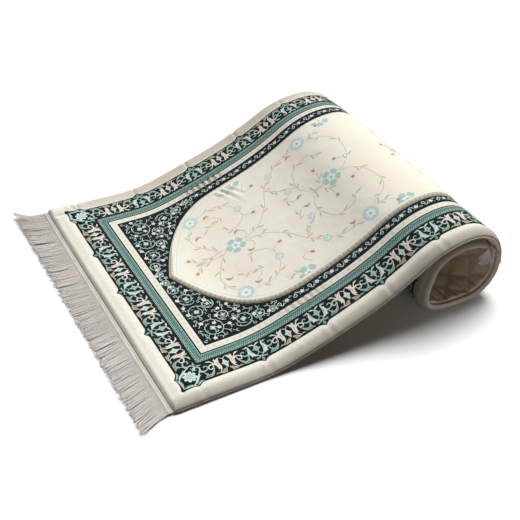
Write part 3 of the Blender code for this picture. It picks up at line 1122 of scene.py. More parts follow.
def frayed_ends(at, length, across, height, random):
    """A few loose threads past each cord's end."""
    count = len(length)
    each = (count, THREADS_PER_CORD, 1)
    share = np.linspace(0, 1, THREAD_STEPS)[None, None]
    lean = random.normal(0, 0.0016, each)
    far = random.uniform(0.4, 1.0, each) * THREAD_REACH
    along = length[:, -1:, None] - 0.0015 + share * far
    sideways = across[:, -1:, None] + lean * share**0.8 + random.normal(0, 0.0004, each)
    high = np.maximum(height[:, -1:, None] + random.normal(0, 0.0005, each) * share, 0.0004)
    return at(along, sideways, high).reshape(-1, THREAD_STEPS, 3)


def fringe_cords(name, at, count, steps, seed, spread, flare, ends):
    paths, length, across, height, random = cord_paths(at, count, steps, seed, spread, ends, flare)
    radius = CORD_RADIUS * (1 - 0.20 * np.linspace(0, 1, steps) ** 3)
    radii = np.broadcast_to(radius * random.uniform(0.85, 1.15, count)[:, None], paths.shape[:2])
    cords = tubes(name, paths, radii, 5, oval=0.55, twist=150.0)
    loose = frayed_ends(at, length, across, height, random)
    thin = np.broadcast_to(THREAD_RADIUS * np.linspace(1, 0.5, THREAD_STEPS), loose.shape[:2])
    return cords, tubes(name + "_ends", loose, thin, 3)


front_cords, front_ends = fringe_cords("front_cords", front_fringe_at, 232, 36, 11, FRONT_SPREAD, 0.011, 0.07)
rolled_cords, rolled_ends = fringe_cords("rolled_cords", rolled_fringe_at, 200, 18, 23, 0.0, -0.009, 0.20)
print("front cords:", len(front_cords.data.polygons), "faces")

# %% [markdown]
# At the rolled end's near corner a few cords have worked loose from the heading. They fan out over
# the mouth of the roll from one point, thicker than their neighbours because they have untwisted.

# %% Loose cords at the roll's mouth
LOOSE_COUNT = 8
LOOSE_FIRST, LOOSE_LAST = math.radians(-146), math.radians(-70)


def loose_cords():
    x, z, heading = on_run(np.array([RUN_LENGTH - 0.001]))
    root_x, root_z = (x - np.sin(heading) * 0.004)[0], (z + np.cos(heading) * 0.004)[0]
    random = np.random.default_rng(31)
    share = np.linspace(0, 1, 16)[None]
    spread = np.linspace(0, 1, LOOSE_COUNT)[:, None]
    angle = LOOSE_FIRST + (LOOSE_LAST - LOOSE_FIRST) * spread + 0.30 * (1 - share) * (1 - spread)
    length = (0.026 + 0.018 * spread**0.7) * random.uniform(0.88, 1.0, (LOOSE_COUNT, 1))
    sway = 0.0010 * np.sin(share * random.uniform(3, 6, (LOOSE_COUNT, 1)) + 6 * spread)
    along = root_x + (np.cos(angle) * share) * length - np.sin(angle) * sway
    high = root_z + (np.sin(angle) * share) * length + np.cos(angle) * sway
    across = -WIDTH / 2 - 0.0002 - 0.0034 * np.sin(share * 2.4)
    across = across + random.uniform(-0.0010, 0.0010, (LOOSE_COUNT, 1))
    paths = settled(along, across, high)
    radii = np.broadcast_to(0.00125 * (0.8 + 0.35 * share), paths.shape[:2])
    return tubes("loose_cords", paths, radii, 7, oval=0.8, twist=90.0)


loose = loose_cords()
print(LOOSE_COUNT, "loose cords")

# %% [markdown]
# A second, thinner layer of plain threads lies under the front cords. Seen between the bunches it keeps the
# fringe full; its yarn is much darker than the cords', which is painted shade for the shadow under them.

# %% The layer under the cords
def under_threads():
    random = np.random.default_rng(5)
    count, steps = 230, 10
    start = cord_starts(count)[:, None]
    share = np.linspace(0, 1, steps)[None]
    length = HEADING_LENGTH - 0.001 + share * YARN_LENGTH * random.uniform(0.86, 0.97, (count, 1))
    across = start * (1 + share**1.4 * FRONT_SPREAD / (WIDTH / 2))
    across = across + random.normal(0, 0.0012, (count, 1)) * share
    paths = front_fringe_at(length, across, 0.0005)
    return tubes("under_threads", paths, np.full(paths.shape[:2], 0.00045), 4)


front_under = under_threads()

# %% The yarns, and the fringes set on the rug in place of the imported ones
PLY_PITCH = 0.0034


def yarn(name, light, dark, shade):
    look = Look(name, 0.9, 0.3)
    along, number = look.map("rug")
    speckle = look.noise(700.0)
    colour = look.mottled(60.0, light, dark)
    colour = look.mix(look.step(speckle, 0.56, 0.1) * 0.35, colour, shade)
    ply = look.maths("FRACT", number * 37.0 + along / PLY_PITCH)
    colour = look.mix(look.between(ply, 0.30, 0.70, 0.14) * 0.34, colour, shade)
    look.colour(colour)
    look.bump(speckle, 0.0006, 0.5)
    return look


cord_yarn = yarn("cord_yarn", (252, 247, 242), (242, 235, 229), (184, 175, 166))
heading_yarn = yarn("heading_yarn", (220, 215, 205), (206, 201, 191), (150, 145, 135))
# the lower threads' yarn is darkened as painted shade for the shadow under the cords
shaded_under_yarn = yarn("shaded_under_yarn", (166, 160, 152), (146, 139, 131), (112, 106, 100))
lilac_yarn = yarn("lilac_yarn", (250, 243, 244), (236, 224, 226), (196, 180, 182))
for look, things in (
    (heading_yarn, (front_heading,)),
    (cord_yarn, (front_cords, front_ends)),
    (shaded_under_yarn, (front_under,)),
    (lilac_yarn, (rolled_heading, rolled_cords, rolled_ends, loose)),
):
    for thing in things:
        look.onto(thing)
        placed_on(thing, "yarn")
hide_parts("front_fringe")
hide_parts("rolled_fringe")
lining_size = (2 * BACKING_HALF, RUN_LENGTH - 2 * BACKING_FROM)
print("fringes done")

# %% [markdown]
# ## The printed ornament
# The ornament is traditional: arabesque leaves and scrolls in the border, flowering scrolls beside
# the niche, and vines with flowers inside it. It could be painted with shader maths, but scrolls and
# leaves have points and curves that are easier to draw as strokes: a smooth path with a width that
# grows and shrinks. Each colour's strokes are cut as one thin mesh, laid a fraction of a millimetre
# over the cloth, so it follows every fold. Places in the rug's own coordinates are complex numbers:
# the real part runs along the rug, the imaginary part across it, so a turn or a mirror is one
# product or one conjugate.

# %% The face as a surface to print on
def face_rows():
    along, across = np.meshgrid(ALONG, ACROSS, indexing="ij")
    distance, _ = niche_distance(along, across)
    points = lie_on_face(along, across, face_height(along, across, distance))
    outward = np.cross(np.gradient(points, axis=0), np.gradient(points, axis=1))
    return points, unit(outward)


FACE_POINTS, FACE_OUTWARD = face_rows()


def on_cloth(spots, lift):
    """World points over the face, from complex spots in rug coordinates."""
    row = np.clip(np.searchsorted(ALONG, spots.real, side="right") - 1, 0, len(ALONG) - 2)
    column = np.clip(np.searchsorted(ACROSS, spots.imag, side="right") - 1, 0, len(ACROSS) - 2)
    down = ((spots.real - ALONG[row]) / (ALONG[row + 1] - ALONG[row]))[:, None]
    over = ((spots.imag - ACROSS[column]) / (ACROSS[column + 1] - ACROSS[column]))[:, None]

    def blended(grid):
        first = grid[row, column] * (1 - over) + grid[row, column + 1] * over
        second = grid[row + 1, column] * (1 - over) + grid[row + 1, column + 1] * over
        return first * (1 - down) + second * down

    points = blended(FACE_POINTS) + unit(blended(FACE_OUTWARD)) * lift
    points[:, 2] = np.maximum(points[:, 2], 0.0)
    return points


# %% Paths
PATH_STEP = 0.0016


def unit_spots(spots):
    return spots / np.maximum(np.abs(spots), 1e-12)


def turned_by(degrees):
    """The complex number that turns a spot by this many degrees."""
    return np.exp(1j * np.radians(degrees))


def smooth_path(stops, step=PATH_STEP):
    """An even chain of spots on a smooth curve through the stops."""
    stops = np.asarray(stops, complex)
    ends = np.concatenate([[2 * stops[0] - stops[1]], stops, [2 * stops[-1] - stops[-2]]])
    chain = []
    for before, start, end, after in zip(ends, ends[1:], ends[2:], ends[3:]):
        share = np.linspace(0, 1, max(2, round(abs(end - start) / step)), endpoint=False)
        squared = (2 * before - 5 * start + 4 * end - after) * share**2
        cubed = (3 * start - before - 3 * end + after) * share**3
        chain.append(0.5 * (2 * start + (end - before) * share + squared + cubed))
    return np.concatenate(chain + [stops[-1:]])


def arc_path(start, end, turn, step=PATH_STEP):
    """An arc between two spots that turns by this many degrees, to the left if positive."""
    turn = math.radians(turn)
    half_sine = math.sin(turn / 2)
    length = abs(end - start) * (turn / 2) / half_sine
    share = np.linspace(0, 1, max(3, round(length / step) + 1))
    return start + (end - start) * np.sin(share * turn / 2) / half_sine * np.exp(0.5j * turn * (share - 1))


def spiral_path(middle, outer, inner, start, turn, step):
    """A spiral round a spot, from an outer to an inner radius; start and turn in degrees."""
    length = abs(math.radians(turn)) * (outer + inner) / 2
    share = np.linspace(0, 1, max(6, round(length / step)))
    return middle + (outer + (inner - outer) * share) * turned_by(start + turn * share)


# %% Strokes, discs and flowers
LEAST_HALF = 0.00008  # half a stroke's width at its finest
POINTS_PER_PETAL = 6


class Ornament:
    """Shapes of one colour, gathered in rug coordinates and laid on the cloth as one thin mesh."""

    def __init__(self, name, light, dark, lift):
        self.name, self.light, self.dark, self.lift = name, light, dark, lift
        self.spots, self.faces, self.count = [], [], 0

    def add(self, spots, faces):
        """Adds faces, turned so that they all look up from the cloth."""
        spots = np.asarray(spots, complex).ravel()
        area = 0.0
        for first, second, third, *_ in faces[: len(faces) // 2 + 1]:
            area += np.imag(np.conj(spots[first] - spots[third]) * (spots[second] - spots[third]))
        order = 1 if area > 0 else -1
        self.faces += [tuple(point + self.count for point in face[::order]) for face in faces]
        self.spots.append(spots)
        self.count += len(spots)

    def stroke(self, path, widths):
        """A ribbon along a path; widths are even stops along it."""
        share = np.linspace(0, 1, len(path))
        half = np.interp(share, np.linspace(0, 1, len(widths)), widths) / 2
        aside = 1j * unit_spots(np.gradient(path)) * np.maximum(half, LEAST_HALF)
        self.add(np.stack([path - aside, path, path + aside], axis=1), ring_faces(len(path), 3, closed=False))

    def disc(self, middle, outline):
        """A filled outline, with a ring half-way so that it bends with the cloth."""
        count = len(outline)
        spots = np.concatenate([[middle], middle + (outline - middle) * 0.5, outline])
        pairs = [(number, (number + 1) % count) for number in range(count)]
        faces = [(0, 1 + here, 1 + after) for here, after in pairs]
        faces += [(1 + here, 1 + count + here, 1 + count + after, 1 + after) for here, after in pairs]
        self.add(spots, faces)

    def flower(self, middle, radius, petals, waist, turn=0.0, points=POINTS_PER_PETAL):
        angle = np.linspace(0, 2 * np.pi, petals * points, endpoint=False)
        lobe = np.abs(np.cos(petals * (angle - math.radians(turn)) / 2)) ** 0.55
        self.disc(middle, middle + radius * (waist + (1 - waist) * lobe) * np.exp(1j * angle))

    def lay(self):
        spots = np.concatenate(self.spots)
        uv = np.stack([spots.real, spots.imag], -1)
        thing = new_mesh(self.name, on_cloth(spots, self.lift), self.faces, uv)
        look = Look(self.name, 0.92, 0.2)
        look.colour(look.mottled(240.0, self.light, self.dark, 3.0))
        look.bump(look.noise(2600.0), 0.0003, 0.35)
        look.onto(thing)
        placed_on(thing, "printed_cloth")
        print(self.name, "has", len(self.faces), "faces")

# %% The print's colours
border_mint = Ornament("border_mint", (174, 202, 193), (150, 182, 173), 0.00016)
border_ivory = Ornament("border_ivory", (234, 229, 215), (214, 206, 190), 0.00022)
border_beige = Ornament("border_beige", (186, 180, 160), (166, 160, 140), 0.00012)
border_pale = Ornament("border_pale", (212, 226, 219), (190, 210, 203), 0.00020)
border_moss = Ornament("border_moss", (150, 176, 165), (130, 158, 148), 0.00013)
rosette_white = Ornament("rosette_white", (226, 238, 232), (208, 226, 220), 0.00022)
rosette_cyan = Ornament("rosette_cyan", (160, 208, 204), (144, 196, 190), 0.00026)
# the next ornament is painted shade: thin dark lines in the far border's creases at the tips
tip_crease_shade = Ornament("tip_crease_shade", (158, 146, 126), (136, 124, 106), 0.00010)
border_vein = Ornament("border_vein", BLACK, BLACK_GREEN, 0.00032)
border_blush = Ornament("border_blush", (226, 206, 196), (208, 184, 176), 0.00034)

# %% [markdown]
# ### The main border
# One unit of the border repeats at every scallop tip: a palmette with crossing stems under it, a
# long blade and a hooked scroll on each side. Between two tips stands a second palmette between
# ivory blades. A unit is drawn once, as strokes in millimetres beside its tip, and is placed by a
# turn and a mirror along all four sides, so the far and hidden sides are as complete as the near one.

# %% Strokes of the border, in millimetres: along from the unit's middle, and in from the edge
MM = 0.001
# (ornament, stops, widths), drawn on both sides of the unit's middle
TIP_STROKES = (
    (border_moss, ((0, 28), (0, 33), (0, 38.5)), (0.5, 5.8, 0)),
    (border_mint, ((-12, 40), (-8, 37.4), (0, 39.8), (6, 43.8)), (0, 2.6, 1.5, 2.2)),
    (border_mint, ((0, 49.5), (3, 46.8), (6, 43.8)), (1.3,)),
    (border_pale, ((6, 43.5), (11.5, 48), (14.3, 56), (13, 65), (14.5, 71)), (2, 7.6, 7.4, 3.4, 1.6)),
    (border_pale, ((10, 46.5), (14, 46), (16.5, 44)), (3, 3.6, 0)),
    (border_mint, ((14.2, 70.4), (18, 68.4), (22.5, 69.6)), (1.5, 3.6, 0)),
    (border_mint, ((13, 57), (18, 52.8), (24, 52.2), (29.3, 56), (29, 61.5), (25.2, 62.6), (23.4, 60)),
     (5.5, 4.4, 3, 2.2, 1.8, 1.7, 2.4)),
    (border_mint, ((19.5, 52.5), (20.5, 47.5), (22.5, 42)), (1.8, 1.6, 3)),
    (border_moss, ((15.5, 36.2), (22.5, 39.2), (30, 39.6), (37, 46)), (0, 6.6, 6.0, 1.3)),
    (border_moss, ((22.6, 38), (23.4, 43), (24.4, 46.4)), (5, 3.4, 0)),
    (border_mint, ((0, 49.5), (0, 54), (0, 60), (0, 67.8)), (0.8, 5.4, 8.6, 1)),
    (border_mint, ((1.5, 57.2), (5, 58), (8.2, 60)), (4.2, 3, 0)),
    (border_pale, ((0.5, 67.3), (5, 69.6), (10.5, 71)), (1.2, 3.6, 0)),
)
MID_STROKES = (
    (border_pale, ((0, 43.6), (0, 49), (0, 55), (0, 63.6)), (1.4, 6.6, 9.2, 1)),
    (border_pale, ((1.5, 53.6), (4.6, 54.2), (7.2, 56)), (4.2, 3, 0)),
    (border_ivory, ((0, 63.5), (0.8, 66), (5, 69.4)), (1.2,)),
    (border_ivory, ((17, 37.4), (12.2, 45), (13.2, 53), (14, 60), (10.7, 66.5), (6.2, 70.4)),
     (1.1, 1.8, 7.2, 8.2, 6, 0.6)),
    (border_ivory, ((13, 63.5), (15.6, 67.6), (13.8, 71)), (5.4, 4.2, 0)),
    (border_ivory, ((12.5, 50), (15.4, 47.6), (16.6, 45)), (4.2, 2.8, 0)),
    (border_ivory, ((15, 58), (21, 60.2), (26.5, 60), (30.6, 56.5), (30, 51.8), (26.4, 50.4), (24.8, 52.8)),
     (6, 4, 2.5, 2.2, 2.0, 1.8, 2.5)),
    (border_pale, ((18.5, 60.8), (21.5, 65.5), (25, 68.8), (31.5, 70)), (2, 1.8, 3.4, 0)),
    (border_pale, ((21.8, 58), (23.2, 50), (26.6, 45.6), (30, 43)), (1.5, 1.3, 1.2, 1)),
    (border_beige, ((2.6, 44.2), (6, 40.5), (11, 37.3), (17.4, 36.6)), (0.8, 6.8, 5.2, 0.8)),
    (border_beige, ((7, 38.5), (6.4, 35.4), (8.4, 33.8)), (4, 2.6, 0)),
    (border_beige, ((17, 37), (22, 38.4), (26.4, 36)), (1, 2.8, 0)),
)
TIP_VEINS = (
    ((0, 53), (0, 59), (0, 64)),
    ((0, 30.5), (0, 35.5)),
    ((10, 49), (12.6, 56), (12.6, 63)),
    ((19, 38), (29, 38.6)),
)
MID_VEINS = (((0, 48), (0, 59)), ((13, 51), (13.6, 59), (11.2, 65)), ((5.6, 40.6), (11, 37.4)))
VEIN_WIDTHS = (0, 0.9, 0)
BALLS = ((border_blush, (17.6, 62.4)), (border_blush, (37.6, 51.6)), (border_mint, (9.4, 36.4)))
BALL_RADIUS = 0.9


def spot(pair):
    return complex(*pair) * MM


def stroke_mm(ornament, stops, widths, place):
    """A stroke through stops in millimetres, set where it belongs by place."""
    ornament.stroke(place(smooth_path([spot(stop) for stop in stops])), np.array(widths) * MM)


def draw_unit(strokes, veins, balls, place, halves=(1, -1)):
    """One unit; place turns local spots (along + in from the edge, in metres) into rug spots."""
    for half in halves:

        def placed(path):
            return place(path if half > 0 else -np.conj(path))

        for ornament, stops, widths in strokes:
            on_middle = all(stop[0] == 0 for stop in stops)
            if not (on_middle and half < 0 and len(halves) > 1):
                stroke_mm(ornament, stops, widths, placed)
        for stops in veins:
            stroke_mm(border_vein, stops, VEIN_WIDTHS, placed)
        for ornament, middle in balls:
            ornament.flower(placed(spot(middle)), BALL_RADIUS * MM, 5, 1.0)


def edge_places():
    """For each of the four edges: the places of its tips, and how to set a local path there."""
    half, end = WIDTH / 2, float(FACE_LENGTH)
    return (
        (SIDE_TIPS, lambda path, at: path + at - 1j * half),
        (SIDE_TIPS, lambda path, at: np.conj(path) + at + 1j * half),
        (END_TIPS, lambda path, at: 1j * np.conj(path) + 1j * at),
        (END_TIPS, lambda path, at: 1j * path + end + 1j * at),
    )


# %% Draw the main border
# what is drawn of a tip's unit on the side away from a corner
LAST_STROKES, LAST_VEINS, LAST_BALLS = TIP_STROKES[5:10], TIP_VEINS[3:], BALLS[:2]


def draw_border():
    for tips, set_at in edge_places():
        last = len(tips) - 1
        for number, at in enumerate(tips):
            def at_tip(path):
                return set_at(path, at)

            if 0 < number < last:
                draw_unit(TIP_STROKES, TIP_VEINS, BALLS, at_tip)
            if number < last:
                middle = (at + tips[number + 1]) / 2
                draw_unit(MID_STROKES, MID_VEINS, (), lambda path: set_at(path, middle))
            if number in (0, last):
                draw_unit(LAST_STROKES, LAST_VEINS, LAST_BALLS, at_tip, (1 if number == 0 else -1,))


draw_border()
print("border:", len(border_mint.faces), "faces of mint so far")

# %% [markdown]
# ### The corners
# Each corner has a rosette in a pointed frame, on the corner's diagonal. It is drawn once for one
# corner and mirrored to the other three.

# %% Draw the corners
CORNER_MIDDLE = 0.0515 * (1 + 1j)
CORNER_STROKES = (
    (border_mint, ((31.5, 31.5), (32.6, 38), (32.4, 46), (28.4, 55)), (0.8, 4.4, 4.6, 1.0)),
    (border_pale, ((31.0, 49), (36, 57), (43, 62.5), (54, 70.5)), (1.0, 3.8, 4.2, 0.6)),
    (border_mint, ((28.6, 56), (33, 61), (35, 66), (33.5, 71)), (0.8, 3.4, 3.0, 0)),
    (border_mint, ((41, 60), (46, 66.5), (48, 71.5)), (0.6, 3.0, 0)),
    (border_mint, ((60, 60), (64, 65), (70, 70)), (0, 4.4, 0)),
    (border_pale, ((55, 71), (60, 74), (66, 72), (67, 66), (62, 64), (60, 68)),
     (0.8, 1.8, 1.8, 1.6, 1.6, 0.8)),
    (border_mint, ((44, 60), (50, 60), (54, 56)), (0.8, 2.0, 0.6)),
)
# ornament, radius, waist (the radius between two petals, as a share), turn in degrees
ROSETTE = (
    (rosette_white, 0.0122, 0.62, 22.5),
    (rosette_cyan, 0.0088, 0.40, 22.5),
    (rosette_white, 0.0056, 0.50, 0),
    (border_blush, 0.0030, 0.70, 0),
)
CREASE_FROM, CREASE_END = TIP_INSET - 0.0004, 0.0045  # insets between which a tip's dark line runs


def corner_places():
    half, end = WIDTH / 2, float(FACE_LENGTH)
    return (
        lambda path: path - 1j * half,
        lambda path: np.conj(path) + 1j * half,
        lambda path: end - np.conj(path) - 1j * half,
        lambda path: end - path + 1j * half,
    )


def draw_corners():
    for place in corner_places():
        for ornament, stops, widths in CORNER_STROKES:
            for turned in (1, -1):
                stroke_mm(ornament, [stop[::turned] for stop in stops], widths, place)
        for ornament, radius, waist, turn in ROSETTE:
            ornament.flower(place(CORNER_MIDDLE), radius, 8, waist, turn)


def draw_tip_crease_shade():
    """Painted shade: a short dark line in the crease that each tip's stitch pinches into the plain border on
    the far side.
    """
    tips, set_at = edge_places()[1]
    share = np.linspace(0, 1, 9)
    path = 1j * (CREASE_FROM + (CREASE_END - CREASE_FROM) * share) + 0.0004 * np.sin(5 * share)
    for at in tips:
        tip_crease_shade.stroke(set_at(path, at), (0.0012, 0.0010, 0))


draw_corners()
draw_tip_crease_shade()
print("corners:", len(rosette_white.faces), "faces of white")

# %% [markdown]
# ### The corded edge of the niche
# Round the niche runs a soft quilted cord, lighter and darker by turns, the darker turns being painted shade
# in its notches, and just inside it a thin pale blue line, which the ground's material has drawn. The cord is
# its own long mesh, swollen over
# its width and notched evenly along its length.

# %% Build the niche's cord
CORD_FROM, CORD_TO = 0.0004, 0.0098
CORD_STEP = 0.0012
CORD_ACROSS = 8
NOTCH_PITCH = 0.0098
NARROW_FROM = 0.16  # from here on the far side's cord is drawn in
NARROW_SHARE = 0.45


def evened(values, reach):
    """Each value as the mean of itself and its neighbours on both sides."""
    weights = np.ones(2 * reach + 1) / (2 * reach + 1)
    return np.convolve(np.pad(values, reach, mode="edge"), weights, mode="valid")


def niche_cord():
    lengths = np.arange(0, CHAIN_LENGTH[-1], CORD_STEP)
    path = np.interp(lengths, CHAIN_LENGTH, CHAIN[:, 0]) + 1j * np.interp(lengths, CHAIN_LENGTH, CHAIN[:, 1])
    inward = evened(-1j * unit_spots(np.gradient(path)), 4)
    notch = 0.86 + 0.14 * np.cos(2 * np.pi * lengths / NOTCH_PITCH)
    share = np.linspace(0, 1, CORD_ACROSS)
    lift = 0.0002 + 0.0012 * np.sin(np.pi * share[None]) ** 0.8 * notch[:, None]
    points, faces = [], []
    for side in (1, -1):
        narrow = (side > 0) & (path.real > NARROW_FROM)
        wide = (CORD_TO - CORD_FROM) * evened(np.where(narrow, NARROW_SHARE, 1.0), 15)
        spots = path[:, None] + inward[:, None] * (CORD_FROM + wide[:, None] * share[None])
        spots = np.where(spots.imag < 0, spots.real + 0j, spots)
        spots = spots if side > 0 else np.conj(spots)
        rows = ring_faces(len(lengths), CORD_ACROSS, len(points) * spots.size, closed=False)
        faces += [face[::-side] for face in rows]
        points.append(on_cloth(spots.ravel(), lift.reshape(-1, 1)))
    return new_mesh("niche_cord", np.concatenate(points), faces, np.tile(uv_grid(lengths, share), (2, 1)))


def corded_edge():
    look = Look("corded_edge", 0.92, 0.25)
    length, share = look.map("rug")
    # the darker turns are painted shade in the cord's notches
    dark = look.between(look.maths("FRACT", length / NOTCH_PITCH), 0.30, 0.70, 0.12)
    colour = look.mix(dark, (210, 202, 183), (186, 174, 153))
    colour = look.mix(look.step(share, 0.72, 0.16) * 0.9, colour, FIELD)
    look.colour(look.mix(look.noise(300.0) * 0.3, colour, (178, 168, 150)))
    look.bump(look.noise(1500.0), 0.0004, 0.4)
    return look


cord = niche_cord()
placed_on(cord, "printed_cloth")
corded_edge().onto(cord)
print("niche cord:", len(cord.data.polygons), "faces")

# %% [markdown]
# ### The flowering scrolls beside the niche
# The dark ground outside the niche is filled with thin round scrolls, each with a star flower in its
# middle, five-petalled flowers where scrolls meet, and small hooks and leaves off the line. Only the
# rings' middles and sizes are chosen; hooks and flowers are set round each ring by its angle.

# %% Scrolls in the corners of the niche
scroll_line = Ornament("scroll_line", (212, 228, 224), (190, 212, 207), 0.00016)
scroll_leaf = Ornament("scroll_leaf", (188, 212, 206), (164, 194, 187), 0.00020)
scroll_bloom = Ornament("scroll_bloom", (236, 236, 230), (220, 219, 213), 0.00028)
bloom_eye = Ornament("bloom_eye", (206, 176, 172), (190, 160, 158), 0.00040)

# ring middle (along, across), radius, angle where it opens, which way it winds; millimetres, degrees
SCROLLS = (
    ((139, 160), 24, 200, 1),
    ((196, 167), 18, 160, -1),
    ((170, 138), 13, 90, 1),
    ((131.5, 111), 18, 20, -1),
    ((158, 99), 12, 330, 1),
    ((129.5, 71), 17, 60, 1),
    ((120, 39), 12.5, 300, -1),
    ((117, 13), 8.5, 60, 1),
    ((226, 174), 11.5, 140, 1),
    ((249, 181), 8, 40, -1),
)
RING_TURN = 425
RING_INNER = 0.52  # the spiral's inner radius, as a share of its outer one
STAR_RADIUS = 0.0058
INNER_TURNS = (20, 92, 164, 236, 308)
HOOK_ANGLES = (35, 80, 125, 170, 215, 260, 305, 350)
BLOOM_HOOK = 3  # the hook that bears a flower
BOTH_HALVES = (lambda path: path, np.conj)


def leaf(ornament, middle, angle, length, width, place):
    """A small pointed leaf."""
    path = middle + turned_by(angle) * length * np.linspace(0, 1, 6)
    ornament.stroke(place(path), (0, width, width * 0.7, 0))


def draw_bloom(middle, radius, turn):
    """A pale five-petalled flower."""
    scroll_bloom.flower(middle, radius, 5, 0.30, turn)
    bloom_eye.flower(middle, radius * 0.20, 5, 0.9)


def on_dark(spots):
    """True where a spot of the upper half is on the dark ground between the frames and the niche."""
    inner = PALE_TO + 0.0016
    away, _ = niche_distance(spots.real, spots.imag)
    between = (away < -0.0018) & (spots.imag > -0.001)
    return between & (spots.real > inner) & (WIDTH / 2 - spots.imag > inner)


def draw_ring(middle, radius, opening, winding):
    """A scroll with its star flower and leaves; returns the spots it takes up."""
    middle, radius = spot(middle), radius * MM
    ring = spiral_path(middle, radius, radius * RING_INNER, opening, RING_TURN * winding, 0.0014)
    ring = ring[on_dark(ring)]
    for place in BOTH_HALVES:
        scroll_line.stroke(place(ring), (0.0012,))
        scroll_leaf.flower(place(middle), min(STAR_RADIUS, radius * 0.38), 4, 0.45, opening)
        scroll_bloom.flower(place(middle), 0.0018, 4, 0.6, opening + 45)
        for turn in INNER_TURNS:
            base = middle + radius * 0.46 * turned_by(opening + turn)
            leaf(scroll_leaf, base, opening + turn + 62 * winding, radius * 0.34, 0.0015, place)
        for number, angle in enumerate(HOOK_ANGLES):
            outward = angle + opening * 0.3
            base = middle + radius * (1 - 0.14 * number / len(HOOK_ANGLES)) * turned_by(outward)
            if on_dark(base):
                way = 1 if number % 2 else -1
                leaf(scroll_leaf, base, outward + 140 * way, 0.0056, 0.0018, place)
                if number == BLOOM_HOOK:
                    draw_bloom(place(base), 0.0044, outward)
    return np.concatenate([ring[::2], middle + 0.004 * turned_by(60 * np.arange(6))])


print(len(SCROLLS), "rings in each corner")

# %% Sprigs in the gaps between the rings
GAP = 0.0062  # no sprig is put where there is less room
GRID_STEP = 0.0017
MOST_SPRIGS = 400
SPRIGS_TO = 0.262  # along the rug, where the strip of single motifs takes over


def draw_sprig(number, root, tip, room):
    """A side shoot from the nearest line into a gap: a hook, a flower or a leaf."""
    way = 1 if number % 2 else -1
    back = (root - tip) / abs(root - tip)
    radius = min(room * 0.55, 0.0036)
    hook = spiral_path(tip, radius, radius * 0.28, math.degrees(np.angle(back)), 330 * way, 0.0008)
    stem = arc_path(root, tip + back * radius, 40 * way, 0.0012)
    for place in BOTH_HALVES:
        scroll_line.stroke(place(stem), (0.0010,))
        if number % 5 == 0:
            draw_bloom(place(tip), min(room * 0.60, 0.0042), number * 25)
        elif number % 3 == 1:
            angle = math.degrees(np.angle(-back))
            leaf(scroll_leaf, tip + back * radius, angle + 35 * way, radius * 2.0, 0.0021, place)
            leaf(scroll_leaf, tip + back * radius, angle - 45 * way, radius * 1.7, 0.0019, place)
        else:
            scroll_line.stroke(place(hook), (0.0011, 0.0010, 0.0014))
    return np.concatenate([stem, hook[::2]])


def fill_gaps(taken):
    """Puts sprigs into the widest gap again and again until the ground is evenly covered."""
    rows = np.arange(PALE_TO, SPRIGS_TO, GRID_STEP)
    along, across = np.meshgrid(rows, np.arange(0.0, 0.196, GRID_STEP), indexing="ij")
    spots = (along + 1j * across).ravel()
    spots = spots[on_dark(spots)]
    away = np.abs(spots[:, None] - taken[None])
    nearest, room = away.argmin(1), away.min(1)
    taken = list(taken)
    edge = np.minimum(spots.real - PALE_TO, WIDTH / 2 - PALE_TO - spots.imag)
    edge = np.minimum(edge, -niche_distance(spots.real, spots.imag)[0])
    for number in range(MOST_SPRIGS):
        free = np.minimum(room, edge + 0.0006)
        best = int(free.argmax())
        if free[best] < GAP:
            return number
        added = draw_sprig(number, taken[nearest[best]], spots[best], free[best])
        away = np.abs(spots[:, None] - added[None])
        closer = away.min(1) < room
        nearest[closer] = len(taken) + away.argmin(1)[closer]
        room = np.minimum(room, away.min(1))
        taken += list(added)
    return MOST_SPRIGS


def draw_spandrels():
    taken = np.concatenate([draw_ring(*row) for row in SCROLLS])
    print(fill_gaps(taken), "sprigs beside the niche")


draw_spandrels()

# %% [markdown]
# Along the niche's straight sides the dark ground is a narrow strip with one row of motifs: a
# scroll, a small star, the scroll mirrored, a star. The same row closes the strip at the far end.

# %% The rows of scrolls along the niche
STRIP_PITCH = 0.03230
STRIP_INSET = (PALE_TO + NICHE_INSET) / 2
STRIP_MIDDLE = WIDTH / 2 - STRIP_INSET
STAR_AT = STRIP_PITCH / 2
SCROLL_TAIL = (0.0008 - 0.0030j, 0.0050 - 0.0052j, 0.0088 - 0.0020j, 0.0110 + 0.0020j)
SCROLL_LEAF = (-0.0030 - 0.0020j, -0.0072 - 0.0048j, -0.0096 - 0.0010j)


def strip_motif(number, at, place):
    """One pitch of the strip: a scroll that alternates sides, then a star."""
    side = 1 if number % 2 else -1

    def put(path):
        return place(at + path.real + 1j * path.imag * side)

    scroll_line.stroke(put(spiral_path(0.0016j, 0.0046, 0.0012, -80, 400, 0.0009)), (0.0016, 0.0013, 0.0018))
    scroll_line.stroke(put(smooth_path(SCROLL_TAIL)), (0.0012, 0.0018, 0.0006))
    scroll_leaf.stroke(put(smooth_path(SCROLL_LEAF)), (0, 0.0026, 0))
    scroll_bloom.flower(put(STAR_AT), 0.0046, 5, 0.30, 18 * side)
    bloom_eye.flower(put(STAR_AT), 0.0011, 5, 0.9)
    for angle in (35, 145, 215, 325):
        ray = turned_by(angle) * np.linspace(0.0052, 0.0086, 4)
        scroll_leaf.stroke(put(STAR_AT + ray), (0, 0.0016, 0))


def draw_strips():
    for number in range(int((FACE_LENGTH - PALE_TO - 0.012 - SPRIGS_TO) / STRIP_PITCH)):
        at = SPRIGS_TO + number * STRIP_PITCH
        strip_motif(number, at, lambda path: path + 1j * STRIP_MIDDLE)
        strip_motif(number, at, lambda path: np.conj(path) - 1j * STRIP_MIDDLE)
    count = int(2 * STRIP_MIDDLE / STRIP_PITCH)
    for number in range(count):
        at = (number - count / 2 + 0.25) * STRIP_PITCH
        strip_motif(number, at, lambda path: FACE_LENGTH - STRIP_INSET + 1j * path)


draw_strips()
print("strips done:", len(scroll_line.faces), "faces of scroll line")

